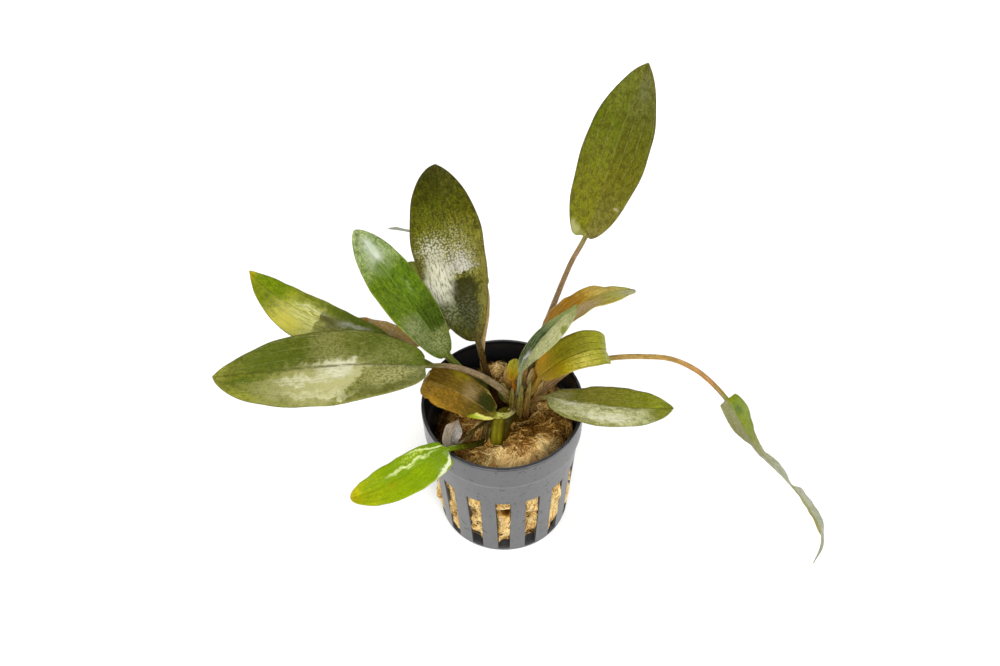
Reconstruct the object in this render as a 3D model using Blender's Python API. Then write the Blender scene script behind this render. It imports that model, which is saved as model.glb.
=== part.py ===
"""A cryptocoryne grown in rock wool in a slotted net pot.

World frame: +X to the right, +Y to the back, +Z up, with the origin on the floor at the
centre of the pot's base. Sizes below are in millimetres, and the meshes are in metres.
"""

import math

import bmesh
import bpy
import numpy as np

MM = 0.001
GAP = 0.3

# The pot
POT_HEIGHT = 52.0
RIM_RADIUS = 25.0
BASE_RADIUS = 20.3
WALL = 1.1
BAND_HEIGHT = 11.0
BAND_STEP = 0.8
BAND_FLARE = 0.5
BEVEL = 0.5
SLOTS = 15
FIRST_SLOT = -91.0
SLOT_BOTTOM = 1.4
SLOT_TOP = 30.3
SLOT_WIDTH_TOP = 4.9
SLOT_WIDTH_BOTTOM = 3.6
BASE_HOLE_INNER = 9.0
BASE_HOLE_OUTER = 16.0
BASE_CENTRE = 5.0

# The ring of faces that has the drain holes and the one that has the slots, counted from the base's
# centre, and the columns of faces for each slot with the rib beside it: two in the slot, three in the rib
HOLE_ROW = 1
SLOT_ROW = 5
COLUMNS_PER_SLOT = 5

# The rock wool: its lumps are (x, y, rise, spread)
WOOL_BOTTOM = 1.5
WOOL_TOP = 43.8
WOOL_CLEARANCE = 0.7
WOOL_SIDES = 28
WOOL_LAYERS = 7
WOOL_TOP_RINGS = 5
WOOL_EDGE_DROP = 2.5
WOOL_SHOULDER = 0.96
WOOL_FOOT_INSET = 1.5
WOOL_ROUGHNESS = 0.5
WOOL_LUMPS = [(-1, 17, 2.6, 6.3), (6, -13, 1.6, 7.7), (17, 9, -4.0, 7.7), (-11, -3, -3.0, 4.7)]
WOOL_HOLLOW_BEARING = 180
WOOL_HOLLOW_WIDTH = 50
WOOL_HOLLOW_DEPTH = 4.0
WOOL_HOLLOW_FROM = 30.0

# The crown that the leaves grow from, and the pit in the wool that it sits in
CROWN_X = 5.0
CROWN_Y = 4.0
CROWN_BOTTOM = 37.0
CROWN_TOP = 50.0
CROWN_RADIUS = 3.6
CROWN_TIP_RADIUS = 2.8
CROWN_SIDES = 12
CROWN_RINGS = (0, 0.12, 0.35, 0.6, 0.8, 0.93, 1)
CROWN_ROUNDING = 0.55
PIT_TOP = 41.5
PIT_SPREAD = 5.0

# How finely a leaf is lofted
LEAF_SIDES = 8
PETIOLE_SPACING = 7.0
BLADE_STATIONS = np.array([0.015, 0.045, 0.1, 0.19, 0.3, 0.42, 0.54, 0.66, 0.78, 0.88, 0.95, 0.985])
BLADE_THICKNESS = 0.8
TIP_HALF_WIDTH = 0.25
TIP_THICKNESS = 0.44
STALK_FADE = 0.12
DIRECTION_SAMPLES = 120
LEAF_GLOSS = 0.35
LOBE_FADE = 0.09
STUB_RINGS = 5

# One entry for each leaf, with lengths in millimetres and angles in degrees:
#   start   bearing and height at which the petiole leaves the crown
#   path    points that the petiole and then the midrib pass
#   blade   number of the path point where the blade begins
#   halves  half widths of the blade to the left and right of the midrib
#   left, right  how slowly that side widens from the base and how quickly it narrows to the tip
#   faces   ways that the upper side looks, spread evenly from the blade's base to its tip
#   fold    angle that each half of the blade rises from flat
#   lobe    how far the base reaches back beside the petiole
#   stalk   radius of the petiole at the crown and at the blade
LEAVES = {
    "leaf_left_long": dict(
        start=(172, 48.5),
        path=[(-3, 6, 54.5), (-10, 7.2, 59), (-16.7, 7, 62), (-23.3, 5.2, 64.5), (-37, 4.4, 67),
              (-52, 4, 67), (-70.5, 5.5, 63), (-89.4, 8.3, 57)],
        blade=3, halves=(13.0, 10.8), left=(0.35, 0.8), right=(0.4, 0.8), faces=[(0, -0.35, 1)],
        fold=8, lobe=4, stalk=(1.4, 0.9), color=(0.18, 0.22, 0.045)),
    "leaf_upper_left": dict(
        start=(178, 45.6),
        path=[(-7, 6.6, 46.4), (-15, 10.3, 51), (-21.5, 12.8, 54.5), (-33, 17.5, 57.5),
              (-47, 22, 60), (-62.7, 30.2, 61), (-71, 37, 61), (-79.6, 47.8, 60)],
        blade=3, halves=(9.0, 6.0), left=(0.4, 0.95), right=(0.4, 0.7), faces=[(0.1, -0.3, 1)],
        fold=8, lobe=0, stalk=(1.0, 0.8), color=(0.33, 0.36, 0.04)),
    "leaf_left_centre": dict(
        start=(146, 45.4),
        path=[(-7, 9, 50), (-12.3, 10.3, 55), (-16.8, 12, 61), (-21.7, 15.6, 68.5),
              (-31, 23.3, 80), (-44, 37.3, 91)],
        blade=2, halves=(8.9, 7.6), left=(0.5, 0.8), right=(0.45, 0.65), faces=[(0.3, -0.6, 1)],
        fold=8, lobe=2, stalk=(1.1, 0.8), color=(0.1, 0.22, 0.015)),
    "leaf_centre": dict(
        start=(128, 48.5),
        path=[(-2.6, 7, 50), (-5, 11.8, 54), (-7.2, 19, 59), (-10.2, 26.4, 65),
              (-14, 38.4, 74), (-17.4, 54, 83), (-19.8, 67, 88)],
        blade=2, halves=(12.0, 10.3), left=(0.7, 0.7), right=(0.7, 0.7), faces=[(0, -0.55, 1)],
        fold=8, lobe=0, stalk=(1.3, 0.95), color=(0.11, 0.11, 0.03)),
    "leaf_tall_right": dict(
        start=(66, 48.6),
        path=[(9.4, 15, 54), (15.8, 26, 66), (21.5, 31.5, 81), (26.4, 33.5, 90.5),
              (31, 40, 104), (37, 52, 117), (45.7, 70.3, 127)],
        blade=3, halves=(10.6, 10.0), left=(0.3, 0.85), right=(0.5, 0.95), faces=[(-0.1, -0.65, 1)],
        fold=5, lobe=4, stalk=(1.1, 0.75), color=(0.16, 0.19, 0.04)),
    "leaf_arched_right": dict(
        start=(38, 45.2),
        path=[(10.2, 9.3, 53), (11.8, 12.3, 61), (18, 17, 71), (27.2, 21.2, 76),
              (34.3, 23.5, 76), (41, 25.8, 73)],
        blade=1, halves=(5.0, 8.6), left=(0.6, 0.7), right=(0.95, 0.6), faces=[(0, 0.35, 0.93)],
        fold=10, lobe=0, stalk=(1.1, 0.8), color=(0.4, 0.2, 0.02)),
    "leaf_folded": dict(
        start=(0, 50.4),
        path=[(5.2, 4, 54), (5.8, 5, 61), (9.5, 7.1, 69), (15.6, 9.8, 77), (22.8, 14, 82)],
        blade=1, halves=(2.8, 4.0), left=(0.5, 1.4), right=(0.9, 0.7), faces=[(0.1, -0.6, 0.8)],
        fold=32, lobe=0, stalk=(0.8, 0.7), color=(0.25, 0.32, 0.15)),
    "leaf_drooping": dict(
        start=(14, 48.5),
        path=[(9.8, 4.8, 53), (11.6, 5.5, 57), (17.7, 6.2, 64), (24.6, 6.8, 68), (29.6, 9.3, 66.2),
              (31.2, 10.6, 63.6), (31, 12.4, 60.4)],
        blade=1, halves=(6.6, 6.0), left=(0.4, 0.3), right=(0.4, 0.3),
        faces=[(0, -0.3, 1), (0, -0.3, 1), (0.6, -0.2, 0.8), (1, 0.1, 0.3)],
        fold=6, lobe=0, stalk=(1.1, 0.8), color=(0.33, 0.3, 0.04)),
    "leaf_right": dict(
        start=(-24, 45.4),
        path=[(9.4, 2.2, 50), (14, 0.1, 54.5), (22, -4.2, 57.5), (31.8, -7.1, 59),
              (41.4, -7.5, 58), (52, -4.6, 54)],
        blade=1, halves=(6.4, 7.5), left=(0.55, 0.65), right=(0.45, 0.85), faces=[(0, -0.15, 1)],
        fold=6, lobe=0, stalk=(1.0, 0.8), color=(0.16, 0.18, 0.04)),
    "leaf_trailing": dict(
        start=(3, 45.2),
        path=[(14.4, 7.8, 49.6), (22.6, 11.9, 54.5), (33, 12.4, 58.5), (43, 10.2, 62), (52, 7.3, 64),
              (59, 3.7, 63), (63.4, 0.9, 60), (68.2, -3.4, 56), (72.9, -6.4, 47.5), (78.6, -10.8, 39.5),
              (86.8, -15.7, 31), (95, -20.4, 21.5), (99.3, -26.2, 14), (96.4, -32.3, 8)],
        blade=7, halves=(4.3, 4.3), left=(0.27, 1.1), right=(0.27, 1.1),
        faces=[(0.3, -0.8, 0.5), (0.75, -0.35, 0.55), (0.76, 0.34, 0.55), (0.8, 0.2, 0.56),
               (0.77, -0.2, 0.6), (0.9, -0.1, 0.3)],
        fold=10, lobe=1.5, stalk=(0.9, 0.75), color=(0.3, 0.36, 0.1)),
    "leaf_curled_brown": dict(
        start=(212, 45.6),
        path=[(-2.4, -1.2, 50), (-7.5, -0.8, 53), (-14.4, 1.9, 55.8), (-23.2, 6.4, 56)],
        blade=0, halves=(7.4, 6.2), left=(0.5, 0.25), right=(0.5, 0.35), faces=[(0, -0.3, 1)],
        fold=4, lobe=0, stalk=(1.2, 1.0), color=(0.19, 0.1, 0.03)),
    "leaf_front_left": dict(
        start=(211, 43.0),
        path=[(-2.3, -1.8, 44.8), (-5.7, -6.6, 46), (-8.8, -9.5, 47.4), (-12.6, -14.9, 51.1),
              (-17.2, -19.7, 55.5), (-23, -23.6, 55.5), (-34.6, -28.5, 51), (-46.2, -29.9, 46)],
        blade=4, halves=(6.6, 5.2), left=(0.4, 0.5), right=(0.4, 0.5), faces=[(0.1, -0.2, 1)],
        fold=10, lobe=0, stalk=(1.0, 0.8), color=(0.22, 0.4, 0.02)),
    "leaf_withered": dict(
        start=(184, 42.9),
        path=[(-7.6, -5.2, 48.2), (-13, -11.8, 51.7), (-16, -12.8, 54), (-13.2, -9.8, 57)],
        blade=1, halves=(2.6, 2.6), left=(0.5, 0.4), right=(0.5, 0.4), faces=[(0.3, -0.6, 0.6)],
        fold=25, lobe=0, stalk=(0.6, 0.5), color=(0.3, 0.23, 0.2)),
    "leaf_behind_centre": dict(
        start=(112, 45.6),
        path=[(-5.4, 15.2, 50.6), (-5.4, 21, 54.5), (-3.7, 32.8, 57), (-4.5, 40.6, 60),
              (-10.7, 49.4, 64), (-22, 55.5, 66), (-37, 58.8, 67)],
        blade=3, halves=(5.5, 5.5), left=(0.45, 0.8), right=(0.45, 0.8), faces=[(0, 0.78, 0.62)],
        fold=5, lobe=0, stalk=(0.8, 0.6), color=(0.3, 0.3, 0.2)),
    "leaf_tan": dict(
        start=(160, 43.0),
        path=[(-10, 11.3, 48), (-18, 14.8, 54), (-23, 17.6, 54.8), (-34.8, 23, 54.8),
              (-47.5, 31.8, 54.8)],
        blade=2, halves=(4.5, 4.5), left=(0.45, 0.7), right=(0.45, 0.7), faces=[(0, -0.2, 1)],
        fold=8, lobe=0, stalk=(0.8, 0.7), color=(0.42, 0.24, 0.07)),
    "leaf_young": dict(
        start=(96, 49.2),
        path=[(3.2, 8.2, 52.5), (3.8, 10.2, 56), (4.4, 11.9, 58.6)],
        blade=0, halves=(2.2, 2.2), left=(0.5, 0.5), right=(0.5, 0.5), faces=[(0, -0.7, 0.8)],
        fold=15, lobe=0, stalk=(0.6, 0.5), color=(0.5, 0.35, 0.05)),
    "leaf_back": dict(
        start=(134, 43.1),
        path=[(-7.6, 12.6, 47.4), (-16.6, 17.7, 54.4), (-17.9, 22.3, 56), (-16.9, 24.9, 57.5),
              (-22.2, 38.2, 60), (-29.2, 49, 62)],
        blade=3, halves=(6.5, 6.5), left=(0.4, 0.7), right=(0.4, 0.7), faces=[(0, -0.4, 1)],
        fold=6, lobe=0, stalk=(0.9, 0.7), color=(0.3, 0.32, 0.04)),
}

# Petioles of leaves that are gone: the start and path as above, and the radius at each end
STUBS = {
    "petiole_stub_left": dict(
        start=(246, 43.4), path=[(-0.4, -3.4, 46.2), (-1.8, -6.7, 46.8), (-2.3, -9.8, 46.2)],
        radius=(1.1, 1.05), color=(0.2, 0.22, 0.02)),
    "petiole_stub_right": dict(
        start=(279, 43.2), path=[(3.1, -3.8, 45.4), (1.4, -7, 46.2), (0.9, -10, 45.9)],
        radius=(1.1, 0.95), color=(0.25, 0.28, 0.03)),
}


def clear_scene():
    for obj in list(bpy.data.objects):
        bpy.data.objects.remove(obj, do_unlink=True)


def material(name, color, roughness):
    made = bpy.data.materials.new(name)
    made.use_nodes = True
    shader = made.node_tree.nodes["Principled BSDF"]
    shader.inputs["Base Color"].default_value = (*color, 1.0)
    shader.inputs["Roughness"].default_value = roughness
    shader.inputs["Metallic"].default_value = 0.0
    return made


def tube_faces(rings, sides):
    """Faces that join rings of points, each ring following the one before, with both ends closed."""
    faces = []
    for ring in range(rings - 1):
        low = ring * sides
        for i in range(sides):
            j = (i + 1) % sides
            faces.append((low + i, low + j, low + sides + j, low + sides + i))
    faces.append(list(range(sides))[::-1])
    faces.append([(rings - 1) * sides + i for i in range(sides)])
    return faces


def add_object(name, points, faces, finish):
    """A mesh object from points in millimetres and the faces between them."""
    mesh = bpy.data.meshes.new(name)
    mesh.from_pydata([tuple(MM * float(x) for x in point) for point in points], [], faces)
    bm = bmesh.new()
    bm.from_mesh(mesh)
    bmesh.ops.recalc_face_normals(bm, faces=bm.faces)
    bm.to_mesh(mesh)
    bm.free()
    mesh.shade_smooth()
    mesh.set_sharp_from_angle(angle=math.radians(40))
    mesh.materials.append(finish)
    obj = bpy.data.objects.new(name, mesh)
    bpy.context.scene.collection.objects.link(obj)
    return obj


# Pot

def wall_radius(z):
    """Outer radius of the plain tapered wall at height z."""
    under_band = RIM_RADIUS - BAND_STEP - BAND_FLARE
    return BASE_RADIUS + (under_band - BASE_RADIUS) * z / (POT_HEIGHT - BAND_HEIGHT)


def pot_rings():
    """(radius, height) of each ring of the outer skin, from the base's centre to the rim."""
    band = POT_HEIGHT - BAND_HEIGHT
    band_radius = wall_radius(band) + BAND_STEP
    return [
        (BASE_CENTRE, 0.0),
        (BASE_HOLE_INNER, 0.0),
        (BASE_HOLE_OUTER, 0.0),
        (BASE_RADIUS - BEVEL, 0.0),
        (BASE_RADIUS, BEVEL),
        (wall_radius(SLOT_BOTTOM), SLOT_BOTTOM),
        (wall_radius(SLOT_TOP), SLOT_TOP),
        (wall_radius(band - BEVEL), band - BEVEL),
        (band_radius, band + BEVEL),
        (RIM_RADIUS, POT_HEIGHT - BEVEL),
        (RIM_RADIUS - BEVEL / 2, POT_HEIGHT),
    ]


def slot_half_angle(radius, z):
    """Half the angle that a slot spans at this height, also used for the holes in the base."""
    share = min(max((z - SLOT_BOTTOM) / (SLOT_TOP - SLOT_BOTTOM), 0.0), 1.0)
    width = SLOT_WIDTH_BOTTOM + (SLOT_WIDTH_TOP - SLOT_WIDTH_BOTTOM) * share
    return 0.5 * width / max(radius, BASE_RADIUS)


def make_pot():
    """One skin with the slots and drain holes left out, given its wall by Solidify."""
    bm = bmesh.new()
    rings = []
    for radius, z in pot_rings():
        half = slot_half_angle(radius, z)
        rib = math.tau / SLOTS - 2 * half
        ring = []
        for slot in range(SLOTS):
            middle = math.tau * slot / SLOTS + math.radians(FIRST_SLOT)
            for angle in (-half, 0.0, half, half + rib / 3, half + 2 * rib / 3):
                at = middle + angle
                ring.append(bm.verts.new((MM * radius * math.cos(at), MM * radius * math.sin(at), MM * z)))
        rings.append(ring)
    columns = len(rings[0])
    for row in range(len(rings) - 1):
        for i in range(columns):
            in_slot = i % COLUMNS_PER_SLOT < 2
            if in_slot and row in (HOLE_ROW, SLOT_ROW):
                continue
            j = (i + 1) % columns
            bm.faces.new((rings[row][i], rings[row + 1][i], rings[row + 1][j], rings[row][j]))
    bm.faces.new(rings[0])
    bmesh.ops.recalc_face_normals(bm, faces=bm.faces)
    mesh = bpy.data.meshes.new("net_pot")
    bm.to_mesh(mesh)
    bm.free()
    if mesh.polygons[-1].normal.z > 0:
        mesh.flip_normals()
    mesh.shade_smooth()
    mesh.set_sharp_from_angle(angle=math.radians(40))
    mesh.materials.append(material("pot_plastic", (0.035, 0.035, 0.038), 0.38))
    pot = bpy.data.objects.new("net_pot", mesh)
    bpy.context.scene.collection.objects.link(pot)
    wall = pot.modifiers.new("wall", "SOLIDIFY")
    wall.thickness = MM * WALL
    wall.offset = -1.0
    wall.use_even_offset = True
    return pot


# Rock wool

def wool_height(x, y):
    """Height of the wool's lumpy top: a hump at the back, hollows to the left and right."""
    height = WOOL_TOP + WOOL_ROUGHNESS * math.sin(0.9 * x + 0.4 * y) * math.cos(0.7 * y - 0.3 * x)
    for lump_x, lump_y, rise, spread in WOOL_LUMPS:
        height += rise * math.exp(-((x - lump_x) ** 2 + (y - lump_y) ** 2) / spread ** 2)
    return height


def wool_side(angle, z):
    """Radius of the wool at this bearing: close to the wall, but drawn in at the top left."""
    inner = wall_radius(z) - WALL - WOOL_CLEARANCE
    near_top = min(max((z - WOOL_HOLLOW_FROM) / 10, 0.0), 1.0)
    off_hollow = (math.degrees(angle) - WOOL_HOLLOW_BEARING) / WOOL_HOLLOW_WIDTH
    hollow = WOOL_HOLLOW_DEPTH * near_top * math.exp(-off_hollow ** 2)
    lumps = 0.7 + 0.7 * math.sin(5 * angle + 0.21 * z) * math.cos(3 * angle - 0.33 * z)
    return inner - hollow - lumps


def make_wool():
    points = []
    faces = []
    rings = []
    angles = [math.tau * i / WOOL_SIDES for i in range(WOOL_SIDES)]

    def add_ring(ring):
        rings.append([len(points) + i for i in range(len(ring))])
        points.extend(ring)

    for layer in range(WOOL_LAYERS):
        z = WOOL_BOTTOM + layer / (WOOL_LAYERS - 1) * (WOOL_TOP - WOOL_EDGE_DROP - WOOL_BOTTOM)
        ring = []
        for angle in angles:
            radius = wool_side(angle, z) - (WOOL_FOOT_INSET if layer == 0 else 0.0)
            ring.append((radius * math.cos(angle), radius * math.sin(angle), z))
        add_ring(ring)
    edge = rings[-1]
    pit = CROWN_RADIUS + GAP
    for step in range(1, WOOL_TOP_RINGS + 1):
        share = step / WOOL_TOP_RINGS
        ring = []
        for i, angle in enumerate(angles):
            edge_x, edge_y, _ = points[edge[i]]
            pit_x = CROWN_X + pit * math.cos(angle)
            pit_y = CROWN_Y + pit * math.sin(angle)
            x = WOOL_SHOULDER * edge_x * (1 - share) + pit_x * share
            y = WOOL_SHOULDER * edge_y * (1 - share) + pit_y * share
            dip = math.exp(-((math.hypot(x - CROWN_X, y - CROWN_Y) - pit) / PIT_SPREAD) ** 2)
            top = wool_height(x, y)
            ring.append((x, y, top + (PIT_TOP - top) * dip))
        add_ring(ring)
    add_ring([(points[k][0], points[k][1], CROWN_BOTTOM - GAP) for k in rings[-1]])
    for lower, upper in zip(rings, rings[1:]):
        for i in range(WOOL_SIDES):
            j = (i + 1) % WOOL_SIDES
            faces.append((lower[i], lower[j], upper[j], upper[i]))
    faces.append(rings[0][::-1])
    faces.append(rings[-1])
    return add_object("rock_wool", points, faces, material("wool", (0.42, 0.26, 0.1), 0.95))


# Crown

def crown_radius(z):
    """Radius of the crown, widest a third of the way up and rounded over at the top."""
    share = (z - CROWN_BOTTOM) / (CROWN_TOP - CROWN_BOTTOM)
    taper = CROWN_RADIUS + (CROWN_TIP_RADIUS - CROWN_RADIUS) * share ** 2
    return taper * (0.8 + 0.2 * math.sin(math.pi * min(share * 1.5, 0.5 + share / 2)))


def make_crown():
    points = []
    for share in CROWN_RINGS:
        z = CROWN_BOTTOM + share * (CROWN_TOP - CROWN_BOTTOM)
        radius = crown_radius(z) * (CROWN_ROUNDING if share == 1 else 1.0)
        for i in range(CROWN_SIDES):
            angle = math.tau * i / CROWN_SIDES
            points.append((CROWN_X + radius * math.cos(angle), CROWN_Y + radius * math.sin(angle), z))
    faces = tube_faces(len(CROWN_RINGS), CROWN_SIDES)
    return add_object("crown", points, faces, material("crown", (0.2, 0.12, 0.04), 0.5))


# Leaves

def smooth_curve(points, steps=12):
    """A smooth curve through the points, with its bends spread over the spans beside them."""
    points = np.array(points, float)
    spans = np.linalg.norm(np.diff(points, axis=0), axis=1) ** 0.75
    slopes = np.diff(points, axis=0) / spans[:, None]
    at = np.empty_like(points)
    for i in range(1, len(points) - 1):
        before, after = spans[i - 1], spans[i]
        at[i] = (slopes[i - 1] * after + slopes[i] * before) / (before + after)
    at[0] = 2 * slopes[0] - at[1]
    at[-1] = 2 * slopes[-1] - at[-2]
    curve = []
    for i, span in enumerate(spans):
        for s in np.arange(steps) / steps:
            curve.append(
                (2 * s**3 - 3 * s**2 + 1) * points[i]
                + (s**3 - 2 * s**2 + s) * span * at[i]
                + (3 * s**2 - 2 * s**3) * points[i + 1]
                + (s**3 - s**2) * span * at[i + 1]
            )
    curve.append(points[-1])
    return np.array(curve)


def along(curve, distances):
    """Points of the curve at these distances from its start."""
    run = np.concatenate([[0.0], np.cumsum(np.linalg.norm(np.diff(curve, axis=0), axis=1))])
    return spread(distances, run, curve)


def spread(at, known_at, known):
    """Vectors at these places, read between the known ones."""
    return np.stack([np.interp(at, known_at, known[:, axis]) for axis in range(3)], axis=1)


def length_of(curve):
    return float(np.linalg.norm(np.diff(curve, axis=0), axis=1).sum())


def blade_profile(t, base, tip):
    """Half width along the blade as a share of its widest."""
    every = np.linspace(0, 1, 201)
    widest = (every**base * (1 - every**2) ** tip).max()
    return t**base * (1 - t**2) ** tip / widest


def unit(vectors):
    return vectors / np.linalg.norm(vectors, axis=1)[:, None]


def leaf_start(bearing, height, radius):
    """Where the petiole's first ring stands: a gap away from the crown, or over its top."""
    reach = crown_radius(height) + GAP + radius if height < CROWN_TOP else 0.0
    angle = math.radians(bearing)
    return (CROWN_X + reach * math.cos(angle), CROWN_Y + reach * math.sin(angle), height)


def leaf_rings(leaf):
    """Middle, side, normal and tangent of each ring, and how far along the blade it lies."""
    points = [leaf_start(*leaf["start"], leaf["stalk"][0])] + leaf["path"]
    curve = smooth_curve(points)
    spans = len(points) - 1
    steps = (len(curve) - 1) // spans
    petiole = length_of(curve[: (leaf["blade"] + 1) * steps + 1])
    blade = length_of(curve) - petiole
    petiole_rings = max(3, round(petiole / PETIOLE_SPACING))
    distances = np.concatenate([np.linspace(0, petiole, petiole_rings), petiole + blade * BLADE_STATIONS])
    t = np.concatenate([np.zeros(petiole_rings), BLADE_STATIONS])

    every = np.linspace(0, petiole + blade, DIRECTION_SAMPLES)
    directions = np.gradient(along(curve, every), axis=0)
    tangents = unit(spread(distances, every, directions))
    looks = spread(t, np.linspace(0, 1, len(leaf["faces"])), np.array(leaf["faces"], float))
    sides = unit(np.cross(tangents, looks))
    normals = np.cross(sides, tangents)
    return along(curve, distances), sides, normals, tangents, t


def make_leaf(name, leaf):
    """A petiole and blade lofted through rings that flatten from a rod to a thin lens."""
    middles, sides, normals, tangents, t = leaf_rings(leaf)
    count = len(t)
    at_blade = count - len(BLADE_STATIONS)
    at_crown, at_base = leaf["stalk"]
    stalk = np.interp(np.arange(count), [0, at_blade - 1, count], [at_crown, at_base, TIP_HALF_WIDTH])
    lens = np.interp(t, [0, STALK_FADE, 1], [at_base, BLADE_THICKNESS / 2, TIP_THICKNESS / 2])
    thick = np.where(t > 0, lens, stalk)
    wide_left = blade_profile(t, *leaf["left"])
    wide_right = blade_profile(t, *leaf["right"])
    rise = math.tan(math.radians(leaf["fold"]))
    points = []
    for i in range(count):
        left = max(stalk[i], leaf["halves"][0] * wide_left[i])
        right = max(stalk[i], leaf["halves"][1] * wide_right[i])
        in_blade = 1.0 if t[i] > 0 else 0.0
        back = in_blade * leaf["lobe"] * wide_left[i] * math.exp(-t[i] / LOBE_FADE)
        for corner in range(LEAF_SIDES):
            angle = math.tau * corner / LEAF_SIDES
            across = math.cos(angle)
            reach = across * (right if across > 0 else left)
            lift = thick[i] * math.sin(angle) + in_blade * rise * abs(reach)
            points.append(middles[i] + sides[i] * reach + normals[i] * lift - tangents[i] * back * across**2)
    return add_object(name, points, tube_faces(count, LEAF_SIDES), material(name, leaf["color"], LEAF_GLOSS))


def make_stub(name, stub):
    """A petiole cut short, as a rod through even rings."""
    curve = smooth_curve([leaf_start(*stub["start"], stub["radius"][0])] + stub["path"])
    middles = along(curve, np.linspace(0, length_of(curve), STUB_RINGS))
    tangents = unit(np.gradient(middles, axis=0))
    sides = unit(np.cross(tangents, (0, 0, 1)))
    normals = np.cross(sides, tangents)
    radii = np.linspace(*stub["radius"], STUB_RINGS)
    points = []
    for middle, side, normal, radius in zip(middles, sides, normals, radii):
        for corner in range(LEAF_SIDES):
            angle = math.tau * corner / LEAF_SIDES
            points.append(middle + radius * (side * math.cos(angle) + normal * math.sin(angle)))
    finish = material(name, stub["color"], LEAF_GLOSS)
    return add_object(name, points, tube_faces(STUB_RINGS, LEAF_SIDES), finish)


def main():
    clear_scene()
    make_pot()
    make_wool()
    make_crown()
    for name, leaf in LEAVES.items():
        make_leaf(name, leaf)
    for name, stub in STUBS.items():
        make_stub(name, stub)


main()
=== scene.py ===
"""The finish of a potted cryptocoryne: blades, petioles, rock wool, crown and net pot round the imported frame.

World frame: +X to the right, +Y to the back, +Z up, with the origin on the floor at the centre of
the pot's base. The tables are in millimetres and degrees, their colours are display bytes, and the
meshes are in metres.
"""

import math
import random

import bmesh
import bpy
import numpy as np
from mathutils import Matrix, Vector, noise
from mathutils.bvhtree import BVHTree


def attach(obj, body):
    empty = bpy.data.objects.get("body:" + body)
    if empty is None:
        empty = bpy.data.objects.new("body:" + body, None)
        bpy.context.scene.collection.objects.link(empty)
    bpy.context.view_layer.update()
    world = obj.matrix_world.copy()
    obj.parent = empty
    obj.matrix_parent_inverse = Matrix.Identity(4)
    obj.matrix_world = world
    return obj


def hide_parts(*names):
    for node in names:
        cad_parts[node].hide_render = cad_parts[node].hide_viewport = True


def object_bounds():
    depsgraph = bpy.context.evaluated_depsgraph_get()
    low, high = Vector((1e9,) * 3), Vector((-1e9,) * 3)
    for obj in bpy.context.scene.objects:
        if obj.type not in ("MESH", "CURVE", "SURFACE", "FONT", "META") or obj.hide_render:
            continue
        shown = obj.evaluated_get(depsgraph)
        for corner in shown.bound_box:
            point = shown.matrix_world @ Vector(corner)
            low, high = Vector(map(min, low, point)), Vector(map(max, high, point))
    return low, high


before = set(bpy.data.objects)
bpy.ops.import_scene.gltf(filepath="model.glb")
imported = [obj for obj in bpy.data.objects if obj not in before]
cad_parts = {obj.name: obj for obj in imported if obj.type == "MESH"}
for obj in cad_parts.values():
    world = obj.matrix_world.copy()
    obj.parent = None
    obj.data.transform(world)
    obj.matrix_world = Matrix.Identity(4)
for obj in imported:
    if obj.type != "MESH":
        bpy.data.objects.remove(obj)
cad_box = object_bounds()

MM = 0.001
BODY = "root"

# Where leaves are kept: the box of the solids with these margins
BOX_LOW = np.array(cad_box[0]) / MM - (0.7, 0.0, 0.0)
BOX_HIGH = np.array(cad_box[1]) / MM + (0.0, 0.5, 0.5)

# Colours: how bright a white surface is under the stage's light, as a multiple of display white, how
# much a leaf's gloss adds to its colour, and the darkest and lightest albedo
LIGHT = 2.3
GLOSS = 0.01
DARKEST = 0.0005
LIGHTEST = 0.85

# The stage: the floor's half width, each softbox with its place in metres, size, radiance and whether
# glossy surfaces mirror it, the point that they face, and the background's strength, by itself, for the
# camera, and how much less for glossy surfaces
FLOOR_HALF = 3.0
SOFTBOXES = {
    "softbox_left": ((-1.05, -0.25, 0.8), 0.9, 5.4, False),
    "softbox_right": ((1.05, -0.25, 0.8), 0.9, 4.6, False),
    "softbox_front": ((0.1, -1.0, 0.9), 0.9, 6.5, False),
    "softbox_back": ((0.0, 0.72, 0.9), 0.4, 4.0, True),
}
FACED = (0, 0, 0.06)
BACKGROUND = 0.35
BACKGROUND_SEEN = 1.2
BACKGROUND_MIRRORED = -0.28

# The camera
CAMERA_AT = (-0.38, -366.17, 544.28)
CAMERA_RIGHT = (0.9998, -0.0145, -0.0116)
CAMERA_UP = (0.0185, 0.7809, 0.6244)
FOCAL_LENGTH = 72.0
SENSOR_WIDTH = 36.0
CLIP_START = 0.01

# The pot
POT_HEIGHT = 52.0
RIM_RADIUS = 25.0
BASE_RADIUS = 20.3
WALL = 1.1
BAND_HEIGHT = 11.0
BAND_STEP = 0.8
BAND_FLARE = 0.5
BEVEL = 0.5
LIP = 0.9
EDGE_BEVEL = 0.18
EDGE_ANGLE = 30
SLOTS = 15
FIRST_SLOT = -91.0
SLOT_BOTTOM = 1.4
SLOT_TOP = 30.3
SLOT_WIDTH_TOP = 4.9
SLOT_WIDTH_BOTTOM = 3.6
BASE_CENTRE = 5.0
BASE_HOLE_INNER = 9.0
BASE_HOLE_OUTER = 16.0
HOLE_ROW = 1
SLOT_ROW = 5
SLOT_COLUMNS = 3
RIB_COLUMNS = 6

# The crown, and its colours by height
CROWN_X = 5.0
CROWN_Y = 4.0
CROWN_BOTTOM = 37.0
CROWN_TOP = 50.0
CROWN_RADIUS = 3.6
CROWN_TIP_RADIUS = 2.8
CROWN_RINGS = 40
CROWN_SIDES = 48
GAP = 0.3
ROOTED = 1.8
CROWN_COLORS = [(37, (70, 48, 18)), (43, (118, 84, 30)), (47, (140, 104, 44)), (50, (132, 116, 50))]
CROWN_LIT = 0.6

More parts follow.
